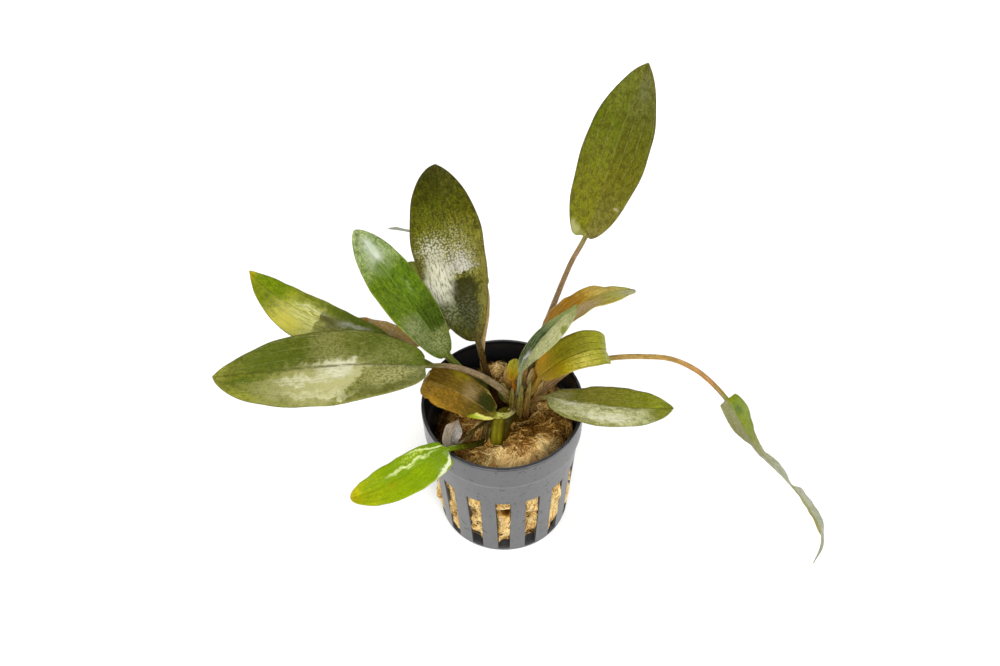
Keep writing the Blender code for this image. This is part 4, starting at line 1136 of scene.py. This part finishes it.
def ring_shares(flatness):
    """Where a ring's points lie across it, from the left over the top to the right and back below."""
    s = np.linspace(-1, 1, TOP_STEPS + 1)
    round_share = np.sin(s * math.pi / 2)
    flat_share = np.sign(s) * np.abs(s) ** 1.25
    top = round_share + (flat_share - round_share) * flatness
    return np.concatenate([top, top[-2:0:-1]])


class LeafSkin:
    """A leaf's surface: closed rings that flatten from the petiole's rod to the veined blade.

    Each ring has its t, 0 on the petiole and the share of the blade's length on the blade. Each point
    has its share of the way from the midrib to the left edge, -1, or the right one, 1, its reach aside
    from the midrib and its lift above it.
    """

    def __init__(self, leaf, seed):
        self.leaf = leaf
        self.seed = seed
        self.rng = random.Random(seed)
        self.space_rings()
        self.shares = np.stack([ring_shares(flatness) for flatness in ease(self.t, 0, 0.08)])
        self.on_top = np.concatenate([np.ones(TOP_STEPS + 1), -np.ones(TOP_STEPS - 1)])
        self.stalk = self.stalk_radii()
        self.reach, self.lift = self.sections()
        self.vein_place = self.shares / (0.35 + 0.65 * self.onset(0.05, 0.55))
        self.relief = self.onset(0.02, 0.15) * (1 - self.onset(0.9, 1.0))
        self.add_midrib()
        self.add_veins()
        self.add_waves()
        self.add_fold()

    def onset(self, low, high):
        """0 up to the ring where t is low, and 1 from the one where it is high."""
        return ease(self.t, low, high)[:, None]

    def space_rings(self):
        points = [leaf_start(*self.leaf["start"], self.leaf["stalk"][0])] + self.leaf["path"]
        self.curve = smooth_curve(points)
        steps = (len(self.curve) - 1) // (len(points) - 1)
        self.petiole = length_of(self.curve[: (self.leaf["blade"] + 1) * steps + 1])
        blade = length_of(self.curve) - self.petiole
        self.petiole_rings = max(FEWEST_PETIOLE_RINGS, round(self.petiole / PETIOLE_STEP))
        blade_rings = max(FEWEST_BLADE_RINGS, round(blade / BLADE_STEP))
        self.tip = self.leaf.get("tip", BLADE_END)
        blade_t = 1 - (1 - np.linspace(0, 1, blade_rings + 1)[1:]) ** TIP_CROWDING
        blade_t *= self.tip
        self.t = np.concatenate([np.zeros(self.petiole_rings), blade_t])
        from_crown = np.linspace(0, self.petiole, self.petiole_rings)
        self.distances = np.concatenate([from_crown, self.petiole + blade * blade_t])
        self.mm_along = self.distances[:, None] - self.petiole

    def stalk_radii(self):
        """Radius of the petiole, widest at the crown, and of its way on into the blade."""
        at_crown, at_base = self.leaf["stalk"]
        stalk = np.where(self.t > 0, at_base * (1 - self.t) + TIP_HALF_WIDTH * self.t, at_base)
        rod = np.linspace(0, 1, self.petiole_rings)
        stalk[: self.petiole_rings] = at_base + (at_crown - at_base) * (1 - rod) ** 1.5
        stalk[: self.petiole_rings] *= 1 + SWELLING * (1 - ease(rod * self.petiole, 0, SWELLING_LENGTH))
        return stalk

    def half_width(self, half, shape):
        """Width of one half at each ring, with ripples, nicks near the tip and waists."""
        phase = self.rng.uniform(0, math.tau)
        short = RIPPLE * np.sin(self.distances / 2.3 + phase)
        ripple = 1 + short + RIPPLE * np.sin(self.distances / 5.1 + 2 * phase)
        width = half * blade_profile(np.minimum(self.t / self.tip, 1), *shape) * ripple
        places = [Vector((d / NICK_LENGTH, 7.7 * self.seed, phase)) for d in self.distances]
        nicks = np.maximum(np.array([noise.noise(place) for place in places]), 0)
        width *= 1 - 1.6 * self.leaf.get("ragged", 0) * nicks * ease(self.t, 0.6, 0.9)
        for place, depth, length in self.leaf.get("waist", []):
            width *= 1 - depth * np.exp(-(((self.t - place) / length) ** 2))
        return np.sqrt(width**2 + self.stalk**2)

    def sections(self):
        """Reach and lift of a ribbed rod that turns into a thin blade."""
        left = self.half_width(self.leaf["halves"][0], self.leaf["left"])
        right = self.half_width(self.leaf["halves"][1], self.leaf["right"])
        reach = self.shares * np.where(self.shares > 0, right[:, None], left[:, None])
        angle = np.arccos(np.clip(self.shares, -1, 1)) * self.on_top
        ribs = 1 + 0.05 * np.sin(7 * angle + self.distances[:, None] / 6)
        ribs = ribs + 0.03 * np.sin(13 * angle + self.seed)
        reach *= ribs + (1 - ribs) * self.onset(0, 0.05)
        round_lift = self.stalk[:, None] * ribs * np.sqrt(np.clip(1 - self.shares**2, 0, 1))
        flat_lift = BLADE_HALF_THICKNESS * np.sqrt(np.clip(1 - self.shares**6, 0, 1))
        fade = self.onset(0, STALK_FADE)
        return reach, (round_lift * (1 - fade) + flat_lift * fade) * self.on_top

    def add_midrib(self):
        """The midrib, which stands out below, the crease above it, and the petiole's groove."""
        fade = self.onset(0, STALK_FADE)
        rib = (self.stalk * (1 - 0.75 * ease(self.t, 0, 0.9)))[:, None]
        ridge = np.exp(-((self.reach / (1.1 * rib)) ** 2)) * fade
        self.lift -= np.where(self.on_top < 0, rib * 0.8, 0.0) * ridge
        crease = 0.16 * np.exp(-((self.reach / 0.45) ** 2)) * self.onset(0, 0.1)
        self.lift -= crease * (self.t[:, None] < 0.98)
        groove = np.exp(-((self.shares / 0.35) ** 2)) * (self.on_top > 0) * (1 - fade)
        self.lift -= 0.22 * self.stalk[:, None] * groove

    def add_veins(self):
        """Long sunken veins beside the midrib, and small swellings between them."""
        vein = self.vein_place / VEIN_SPACING
        sunk = np.exp(-((np.abs(vein - np.round(vein)) / 0.13) ** 2))
        self.lift -= 0.07 * sunk * self.relief * (np.abs(self.reach) > 0.8)
        bent = self.mm_along * 2.1 + np.abs(self.reach) * 1.3 + 1.5 * np.sin(self.reach * 0.7)
        quilt = np.sin(bent) * np.sin(math.pi * self.vein_place / VEIN_SPACING)
        self.lift += 0.05 * quilt * self.relief

    def add_waves(self):
        """Waves along each margin, left and then right."""
        height, length = self.leaf["wave"]
        for sign in (-1, 1):
            wave = 0
            for strength, share in WAVES:
                phase = self.rng.uniform(0, math.tau)
                wave = wave + strength * np.sin(math.tau * self.mm_along / (share * length) + phase)
            edge = np.where(self.shares * sign > 0, np.abs(self.shares) ** 2.2, 0.0)
            self.lift += height * 0.8 * wave * edge * self.relief

    def add_fold(self):
        """Both halves raised from the midrib, and the margins cupped round the blade's base."""
        rise = math.tan(math.radians(self.leaf["fold"]))
        self.lift += rise * np.abs(self.reach) * self.onset(0, 0.03)
        at_base = (ease(self.t, 0, 0.02) * np.exp(-self.t / 0.12))[:, None]
        self.lift += self.leaf.get("cup", 0) * (np.abs(self.shares) ** 3) * at_base

    def points(self):
        """All points, ring after ring, kept in the box."""
        faces = np.array(self.leaf["faces"], float)
        looks = spread(self.t, np.linspace(0, 1, len(faces)), faces)
        middles, sides, normals, tangents = curve_frame(self.curve, self.distances, looks)
        left, right = self.leaf.get("lobe", (0, 0))
        back = blade_profile(self.t, *self.leaf["left"]) * np.exp(-self.t / LOBE_FADE) * (self.t > 0)
        lobe = back[:, None] * np.where(self.shares > 0, right, left) * self.shares**2
        points = middles[:, None] + sides[:, None] * self.reach[..., None]
        points = points + normals[:, None] * self.lift[..., None] - tangents[:, None] * lobe[..., None]
        return np.clip(points, BOX_LOW, BOX_HIGH).reshape(-1, 3)

    def attributes(self):
        """What the leaf's finish reads at each point."""
        place = np.where(self.t > 0, self.t, self.distances / self.petiole - 1)
        return {"leaf_place": rows_of(place[:, None], self.shares, self.on_top),
                "leaf_mm": rows_of(self.mm_along, self.reach, self.vein_place)}


def make_leaf(piece, nodes, leaf, look, seed):
    """A petiole with its blade, in place of these nodes."""
    skin = LeafSkin(leaf, seed)
    finish = LeafFinish(piece, look, seed).material
    made = add_object(piece, skin.points(), loft_faces(*skin.reach.shape), finish, skin.attributes())
    settle(made, look["slot"], *nodes)


def plain_look(slot, colors, lit):
    """The look of a stub or sheath: its colours with streaks, and no net."""
    return dict(slot=slot, left=colors, under=colors[-1][1], mottle=((62, 44, 14), 0.5),
                net=((60, 65, 10), 0), veins=((206, 186, 124), 0.6), midrib=((60, 65, 10), 0),
                margin=((205, 185, 130), 0.3), gloss=(0.38, 0.15), lit=lit)


def make_stub(name, stub, seed):
    """A petiole cut short: a ribbed and grooved stem whose end is sunk in the wool."""
    curve = smooth_curve([leaf_start(*stub["start"], stub["radius"][0])] + stub["path"])
    distances = np.linspace(0, length_of(curve), STUB_RINGS)
    middles, sides, normals, _ = curve_frame(curve, distances, np.array([(0, 0, 1.0)]))
    angle = math.tau * np.arange(STUB_SIDES) / STUB_SIDES
    ribs = 0.09 * np.sin(5 * angle + seed) + 0.05 * np.sin(9 * angle + distances[:, None] / 5)
    radii = np.linspace(*stub["radius"], STUB_RINGS)[:, None] * (1 + ribs)
    radii = radii * (1 - 0.3 * np.exp(-(((angle - math.pi / 2) / 0.4) ** 2)))
    reach, lift = 1.15 * radii * np.cos(angle), 0.9 * radii * np.sin(angle)
    points = middles[:, None] + sides[:, None] * reach[..., None] + normals[:, None] * lift[..., None]
    attributes = {"leaf_place": rows_of((distances / distances[-1] - 1)[:, None], np.cos(angle), 1.0),
                  "leaf_mm": rows_of(distances[:, None], 3 * radii * angle, angle)}
    finish = LeafFinish(name, plain_look("petiole_green", stub["colors"], STUB_LIT), seed).material
    faces = loft_faces(STUB_RINGS, STUB_SIDES)
    made = add_object(name + "_rod", points.reshape(-1, 3), faces, finish, attributes)
    settle(made, "petiole_green", name)


def make_sheath(name, sheath, seed):
    """A cupped scale on the crown, lofted like a small leaf with no petiole."""
    look = plain_look("crown_tissue", sheath["colors"], SHEATH_LIT)
    make_leaf(name, [], dict(SHEATH_SHAPE, **sheath), look, seed)


# Pot

def wall_radius(z):
    """Outer radius of the plain tapered wall at height z."""
    under_band = RIM_RADIUS - BAND_STEP - BAND_FLARE
    return BASE_RADIUS + (under_band - BASE_RADIUS) * z / (POT_HEIGHT - BAND_HEIGHT)


def pot_rings():
    """(radius, height) of each ring of the outer skin, from the base's centre to the rim."""
    band = POT_HEIGHT - BAND_HEIGHT
    return [
        (BASE_CENTRE, 0.0),
        (BASE_HOLE_INNER, 0.0),
        (BASE_HOLE_OUTER, 0.0),
        (BASE_RADIUS - BEVEL, 0.0),
        (BASE_RADIUS, BEVEL),
        (wall_radius(SLOT_BOTTOM), SLOT_BOTTOM),
        (wall_radius(SLOT_TOP), SLOT_TOP),
        (wall_radius(band - 3 * BEVEL), band - 3 * BEVEL),
        (wall_radius(band - BEVEL), band - BEVEL),
        (wall_radius(band) + BAND_STEP, band + BEVEL),
        (wall_radius(band) + BAND_STEP + 0.04, band + 2 * BEVEL),
        (RIM_RADIUS - 0.03, POT_HEIGHT - 2 * BEVEL),
        (RIM_RADIUS, POT_HEIGHT - BEVEL / 2),
        (RIM_RADIUS - BEVEL / 2, POT_HEIGHT),
        (RIM_RADIUS - LIP, POT_HEIGHT),
    ]


def slot_half_angle(radius, z):
    """Half the angle that a slot spans at this height, also used for the holes in the base."""
    share = min(max((z - SLOT_BOTTOM) / (SLOT_TOP - SLOT_BOTTOM), 0.0), 1.0)
    width = SLOT_WIDTH_BOTTOM + (SLOT_WIDTH_TOP - SLOT_WIDTH_BOTTOM) * share
    return 0.5 * width / max(radius, BASE_RADIUS)


def pot_skin():
    """The outer skin, with the slots and drain holes left out."""
    bm = bmesh.new()
    rings = []
    for radius, z in pot_rings():
        half = slot_half_angle(radius, z)
        rib = math.tau / SLOTS - 2 * half
        offsets = [half * (2 * i / SLOT_COLUMNS - 1) for i in range(SLOT_COLUMNS)]
        offsets += [half + rib * i / RIB_COLUMNS for i in range(RIB_COLUMNS)]
        ring = []
        for slot in range(SLOTS):
            middle = math.tau * slot / SLOTS + math.radians(FIRST_SLOT)
            for offset in offsets:
                at = middle + offset
                ring.append(bm.verts.new((MM * radius * math.cos(at), MM * radius * math.sin(at), MM * z)))
        rings.append(ring)
    columns = len(rings[0])
    for row in range(len(rings) - 1):
        for i in range(columns):
            if i % (SLOT_COLUMNS + RIB_COLUMNS) < SLOT_COLUMNS and row in (HOLE_ROW, SLOT_ROW):
                continue
            j = (i + 1) % columns
            bm.faces.new((rings[row][i], rings[row + 1][i], rings[row + 1][j], rings[row][j]))
    bm.faces.new(rings[0])
    bmesh.ops.recalc_face_normals(bm, faces=bm.faces)
    mesh = bpy.data.meshes.new("net_pot_shell")
    bm.to_mesh(mesh)
    bm.free()
    if mesh.polygons[-1].normal.z > 0:
        mesh.flip_normals()
    mesh.shade_smooth()
    return mesh


def make_pot():
    """The skin, given its wall and softened edges."""
    mesh = pot_skin()
    mesh.materials.append(plastic_finish())
    pot = bpy.data.objects.new("net_pot_shell", mesh)
    bpy.context.scene.collection.objects.link(pot)
    wall = pot.modifiers.new("wall", "SOLIDIFY")
    wall.thickness = MM * WALL
    wall.offset = -1.0
    wall.use_even_offset = True
    soft = pot.modifiers.new("soft edges", "BEVEL")
    soft.width = EDGE_BEVEL * MM
    soft.segments = 2
    soft.limit_method = "ANGLE"
    soft.angle_limit = math.radians(EDGE_ANGLE)
    soft.harden_normals = True
    settle(pot, "pot_plastic", "net_pot")


# Rock wool

def wool_clump(p):
    """How far this point is from the border of its clump and from its middle, and a place for the clump."""
    warp = noise.noise_vector(p / 5.0) * 3.0
    distances, middles = noise.voronoi((p + warp) / CLUMP)
    return distances[1] - distances[0], distances[0], middles[0]


def wool_relief(p):
    """How far the wool swells out at this point: clumps with creases between them, and swirling ridges."""
    border, middle, _ = wool_clump(p)
    warp = noise.noise_vector(p / 8.0) * 4.5
    x, y = p.x + warp.x - CROWN_X, p.y + warp.y - CROWN_Y
    turn, reach = math.atan2(y, x), math.hypot(x, y)
    across = Vector((math.cos(turn), math.sin(turn), 0))
    ridges = noise.noise(across * 5.5 + Vector((0, 0, (reach + p.z) / 9)))
    strands = noise.noise(across * 15 + Vector((3, 5, (reach + p.z) / 5)))
    crease = 0.8 * math.exp(-((border / 0.12) ** 2))
    rough = 0.35 * noise.noise(p / 2.6) + 0.2 * noise.noise(p / 0.9)
    return 0.75 * ridges + 0.6 * strands + rough + 0.25 * (0.45 - middle) - crease


def side_hollow(p):
    """How deep the hollows of the wool's side are at this point."""
    bearing = math.degrees(math.atan2(p.y, p.x))
    depth = 0.0
    for at, z, wide, tall, deep in WOOL_SIDE:
        aside = (bearing - at + 180) % 360 - 180
        depth += deep * math.exp(-((aside / wide) ** 4) - ((p.z - z) / tall) ** 4)
    return depth


def round_spots(p, spots):
    """The sum of these round spots of the wool's top at this point."""
    total = 0.0
    for x, y, radius, height in spots:
        total += height * math.exp(-((p.x - x) ** 2 + (p.y - y) ** 2) / radius**2)
    return total


def wool_light_and_shade(p):
    """How much lighter the wool is painted at this point: painted light and shade on its top, and on its side
    an even lift less painted shade in its hollows.
    """
    if p.z < TOP_SHADING_FROM:
        # Painted shade in the side's hollows, taken from an even painted lift of the side
        return SIDE_TONE - 0.2 * max(0.0, side_hollow(p))
    return round_spots(p, WOOL_LIGHT_AND_SHADE)


def shape_top(p):
    """The height that hollows and swellings add to the wool's top at this point."""
    if p.z < WOOL_SHAPED[0]:
        return 0.0
    return round_spots(p, WOOL_TOP) * float(ease(p.z, *WOOL_SHAPED))


def fill_out(p):
    """Presses the wool's side against the pot's inner wall below its shoulder, and out into the slots."""
    radius = math.hypot(p.x, p.y)
    inner = wall_radius(p.z) - WALL
    if radius < inner - 5 or not WOOL_FOOT[0] < p.z < WOOL_SHOULDER[1]:
        return p
    angle = math.atan2(p.y, p.x)
    turn = (math.degrees(angle) - FIRST_SLOT) * SLOTS / 360
    in_slot = math.exp(-(((turn - round(turn)) / SLOT_PART) ** 10))
    in_slot *= float(1 - ease(p.z, SLOT_TOP - 3.0, SLOT_TOP - 1.0))
    lumps = noise.noise(Vector((4.5 * math.cos(angle), 4.5 * math.sin(angle), p.z / 5.5)))
    pressed = inner - 0.45 - 3.5 * max(0.0, lumps - 0.1) + in_slot * (1.8 * min(0.0, lumps) + 1.9)
    pressed -= side_hollow(p)
    if p.z < WOOL_SHOULDER[0] and pressed < radius:
        radius = pressed
    radius += max(0.0, pressed - radius) * float(ease(p.z, *WOOL_FOOT) * (1 - ease(p.z, *WOOL_SHOULDER)))
    return Vector((radius * math.cos(angle), radius * math.sin(angle), p.z))


def refine(bm):
    """Divides the solid's faces finely and rounds its edges off."""
    bmesh.ops.remove_doubles(bm, verts=bm.verts, dist=0.01 * MM)
    bmesh.ops.triangulate(bm, faces=bm.faces)
    while len(bm.faces) < WOOL_FACES:
        long_edges = sorted(bm.edges, key=lambda e: -e.calc_length())[: max(1000, len(bm.edges) // 3)]
        bmesh.ops.subdivide_edges(bm, edges=long_edges, cuts=1, use_grid_fill=True)
        bmesh.ops.triangulate(bm, faces=[face for face in bm.faces if len(face.verts) > 3])
    axes = dict(use_axis_x=True, use_axis_y=True, use_axis_z=True)
    for _ in range(WOOL_SMOOTHINGS):
        bmesh.ops.smooth_vert(bm, verts=bm.verts, factor=0.5, **axes)


def roughen(bm):
    """Gives the wool its lumps, and how light it is painted at each point: painted shade in its creases,
    painted light on its ridges, and the painted spots.
    """
    for vert in bm.verts:
        p = fill_out(vert.co / MM)
        p.z += shape_top(p)
        vert.co = p * MM
    bm.normal_update()
    shades = []
    for vert in bm.verts:
        p = vert.co / MM
        relief = wool_relief(p)
        upward = float(ease(vert.normal.z, -0.2, 0.5)) if p.z > TOP_FROM else 0.0
        vert.co += vert.normal * (relief * (0.4 + 0.7 * upward) - 0.35 * (1 - upward) - 0.1) * MM
        # Painted light and shade: lighter where the relief rises and darker in its creases, plus the painted
        # spots
        shades.append(0.25 * relief - 0.02 + wool_light_and_shade(p))
    return np.array(shades, np.float32)


def make_wool():
    """The lump itself: the solid's form, refined and roughened, then strands of fibre laid over it."""
    noise.seed_set(WOOL_SEED)
    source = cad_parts["rock_wool"].data.copy()
    core = bpy.data.objects.new("rock_wool_core", source)
    bpy.context.scene.collection.objects.link(core)
    bm = bmesh.new()
    bm.from_mesh(source)
    refine(bm)
    shades = roughen(bm)
    bm.to_mesh(source)
    bm.free()
    source.shade_smooth()
    source.materials.clear()
    finish = wool_finish()
    source.materials.append(finish)
    source.attributes.new("strand", "FLOAT", "POINT").data.foreach_set("value", shades)
    settle(core, "mineral_wool", "rock_wool")

    tree = BVHTree.FromObject(core, bpy.context.evaluated_depsgraph_get())
    spots = [(face.area, face.center.copy(), face.normal.copy()) for face in source.polygons]
    top = [spot for spot in spots if spot[2].z > LEVEL and spot[1].z > TOP_FROM * MM]
    side = [spot for spot in spots if spot[2].z <= LEVEL and spot[1].z > STRANDS_FROM * MM]
    groups = {
        "rock_wool_fibres_top_front": ([spot for spot in top if spot[1].y < 0], TOP_FRONT_STRANDS),
        "rock_wool_fibres_top_back": ([spot for spot in top if spot[1].y >= 0], TOP_BACK_STRANDS),
        "rock_wool_fibres_side_front": ([spot for spot in side if spot[1].y < 0], SIDE_FRONT_STRANDS),
        "rock_wool_fibres_side_back": ([spot for spot in side if spot[1].y >= 0], SIDE_BACK_STRANDS),
    }
    for seed, (name, (found, count)) in enumerate(groups.items()):
        lay_strands(name, tree, found, count, finish, seed + 3)


def stray_vector(rng):
    return Vector([rng.uniform(-1, 1) for _ in range(3)])


def flow_at(p, normal, rng):
    """The way that a strand runs here: outwards from the crown in swirls, and at random on the sides."""
    outward = Vector((p.x - CROWN_X, p.y - CROWN_Y, 0))
    outward = outward.normalized() if outward.length > 0.1 else Vector((1, 0, 0))
    swirl = noise.noise_vector(p / 8.0)
    _, _, middle = wool_clump(p)
    own = noise.noise_vector(middle * 7.3 + Vector((0.4, 0.7, 0.1))) * 2.2
    if normal.z < LEVEL:
        outward = Vector((-outward.y, outward.x, 0)) * 0.5 + Vector((0, 0, 0.35))
        swirl = swirl * 1.6
    return outward * 0.45 + swirl * 1.2 + own * 0.6 + stray_vector(rng) * 0.15


def strand_path(tree, p, direction, normal, rng):
    """(place, normal) of a strand's points, which keep near the surface, and the strand's radius."""
    direction = (direction - normal * direction.dot(normal)).normalized()
    turn = rng.uniform(-0.3, 0.3)
    step = rng.uniform(0.9, 2.5) * MM
    loose = rng.random() < LOOSE_SHARE
    top = rng.uniform(0.6, 1.8) if loose else rng.uniform(0.02, 0.5)
    if normal.z < LEVEL:
        top = min(top, 0.4)
    radius = rng.choice(STRAND_RADII) * MM
    last = STRAND_POINTS - 1
    path = []
    for i in range(STRAND_POINTS):
        near, near_normal, _, _ = tree.find_nearest(p)
        arch = i / last if loose else math.sin(math.pi * i / last)
        path.append((near + near_normal * (0.02 + top * arch) * MM, near_normal))
        direction = (direction - near_normal * direction.dot(near_normal)).normalized()
        direction = Matrix.Rotation(turn, 3, near_normal) @ direction
        p = near + direction * step
    return path, radius


def lay_strands(name, tree, spots, count, finish, seed):
    """Thin curved strands that lie along the wool's surface, some of them loose, as ridged ribbons."""
    rng = random.Random(seed)
    total = np.cumsum([area for area, _, _ in spots])
    picks = np.searchsorted(total, [rng.random() * total[-1] for _ in range(count)])
    points, shades = [], []
    for pick in picks:
        _, centre, normal = spots[min(int(pick), len(spots) - 1)]
        start = centre + stray_vector(rng) * 0.2 * MM
        path, radius = strand_path(tree, start, flow_at(centre / MM, normal, rng), normal, rng)
        # A random shade for each strand, plus painted light and shade from the relief and the painted spots
        shade = 0.6 * rng.random() - 0.06 + 0.32 * wool_relief(centre / MM) + wool_light_and_shade(centre / MM)
        for i, (at, up) in enumerate(path):
            ahead = path[min(i + 1, STRAND_POINTS - 1)][0] - path[max(i - 1, 0)][0]
            across = ahead.cross(up).normalized()
            thin = radius * (0.4 if i in (0, STRAND_POINTS - 1) else 1.0)
            points += [at - across * thin, at + up * thin, at + across * thin]
            shades += [shade] * 3
    first = (np.arange(count) * STRAND_POINTS * 3)[:, None, None]
    rows = (np.arange(STRAND_POINTS - 1) * 3)[None, :, None]
    quads = []
    for column in (0, 1):
        corners = np.array([column, column + 1, column + 4, column + 3])
        quads.append((first + rows + corners).reshape(-1, 4))
    faces = np.concatenate(quads).tolist()
    fibres = add_object(name, np.array(points) / MM, faces, finish, {"strand": shades})
    settle(fibres, "mineral_wool")


# Crown

def make_crown():
    """The short stem, ribbed by the bases of old leaves, with bracts and leaf bases round it."""
    angle = math.tau * np.arange(CROWN_SIDES) / CROWN_SIDES
    points = []
    for i in range(CROWN_RINGS):
        share = i / (CROWN_RINGS - 1)
        z = CROWN_BOTTOM + share * (CROWN_TOP - CROWN_BOTTOM)
        radius = crown_radius(z) * (1 - 0.55 * ease(share, 0.7, 1.0))
        ribs = 1 + 0.07 * np.sin(7 * angle + 2.5 * share) + 0.04 * np.sin(16 * angle - 4 * share)
        r = radius * np.minimum(ribs, 1.06)
        points.append(rows_of(CROWN_X + r * np.cos(angle), CROWN_Y + r * np.sin(angle), z))
    faces = loft_faces(CROWN_RINGS, CROWN_SIDES)
    made = add_object("crown_core", np.concatenate(points), faces, crown_finish())
    settle(made, "crown_tissue", "crown")
    for seed, (name, sheath) in enumerate(SHEATHS.items()):
        make_sheath(name, sheath, seed + 61)


# Stage

def make_stage():
    mesh = bpy.data.meshes.new("floor")
    corners = [(FLOOR_HALF * x, FLOOR_HALF * y, 0) for x, y in ((-1, -1), (1, -1), (1, 1), (-1, 1))]
    mesh.from_pydata(corners, [], [(0, 1, 2, 3)])
    finish = Finish("floor", base_color=(0.9, 0.9, 0.9, 1), roughness=0.9, specular_ior_level=0.1)
    mesh.materials.append(finish.material)
    floor = bpy.data.objects.new("floor", mesh)
    bpy.context.scene.collection.objects.link(floor)


def add_softbox(name, at, size, radiance, mirrored):
    """A square lamp that faces the pot's rim, and that glossy surfaces mirror or not."""
    lamp = bpy.data.lights.new(name, "AREA")
    lamp.size = size
    lamp.energy = radiance * math.pi * size**2
    obj = bpy.data.objects.new(name, lamp)
    obj.location = at
    obj.rotation_euler = (Vector(FACED) - Vector(at)).to_track_quat("-Z", "Y").to_euler()
    obj.visible_glossy = mirrored
    bpy.context.scene.collection.objects.link(obj)


def make_light():
    for name, softbox in SOFTBOXES.items():
        add_softbox(name, *softbox)
    world = bpy.data.worlds.new("studio")
    world.use_nodes = True
    nodes, links = world.node_tree.nodes, world.node_tree.links
    seen = nodes.new("ShaderNodeLightPath")
    strength = nodes.new("ShaderNodeMapRange")
    strength.inputs["To Min"].default_value = BACKGROUND
    strength.inputs["To Max"].default_value = BACKGROUND_SEEN
    links.new(seen.outputs["Is Camera Ray"], strength.inputs["Value"])
    dimmed = nodes.new("ShaderNodeMath")
    dimmed.operation = "MULTIPLY_ADD"
    dimmed.inputs[1].default_value = BACKGROUND_MIRRORED
    links.new(seen.outputs["Is Glossy Ray"], dimmed.inputs[0])
    links.new(strength.outputs[0], dimmed.inputs[2])
    background = nodes["Background"]
    background.inputs["Color"].default_value = (1, 1, 1, 1)
    links.new(dimmed.outputs[0], background.inputs["Strength"])
    bpy.context.scene.world = world
    bpy.context.scene.view_settings.view_transform = "Standard"


def make_camera():
    data = bpy.data.cameras.new("camera")
    data.lens = FOCAL_LENGTH
    data.sensor_width = SENSOR_WIDTH
    data.clip_start = CLIP_START
    camera = bpy.data.objects.new("camera", data)
    right, up = Vector(CAMERA_RIGHT).normalized(), Vector(CAMERA_UP).normalized()
    back = right.cross(up)
    turned = Matrix((right, up, back)).transposed().to_4x4()
    camera.matrix_world = Matrix.Translation(Vector(CAMERA_AT) * MM) @ turned
    bpy.context.scene.collection.objects.link(camera)
    bpy.context.scene.camera = camera


def main():
    make_camera()
    make_light()
    make_stage()
    make_pot()
    make_wool()
    make_crown()
    for seed, (name, leaf) in enumerate(LEAVES.items()):
        make_leaf(name + "_blade", [name], leaf, LOOKS[name], seed + 1)
    for seed, (name, stub) in enumerate(STUBS.items()):
        make_stub(name, stub, seed + 41)


main()
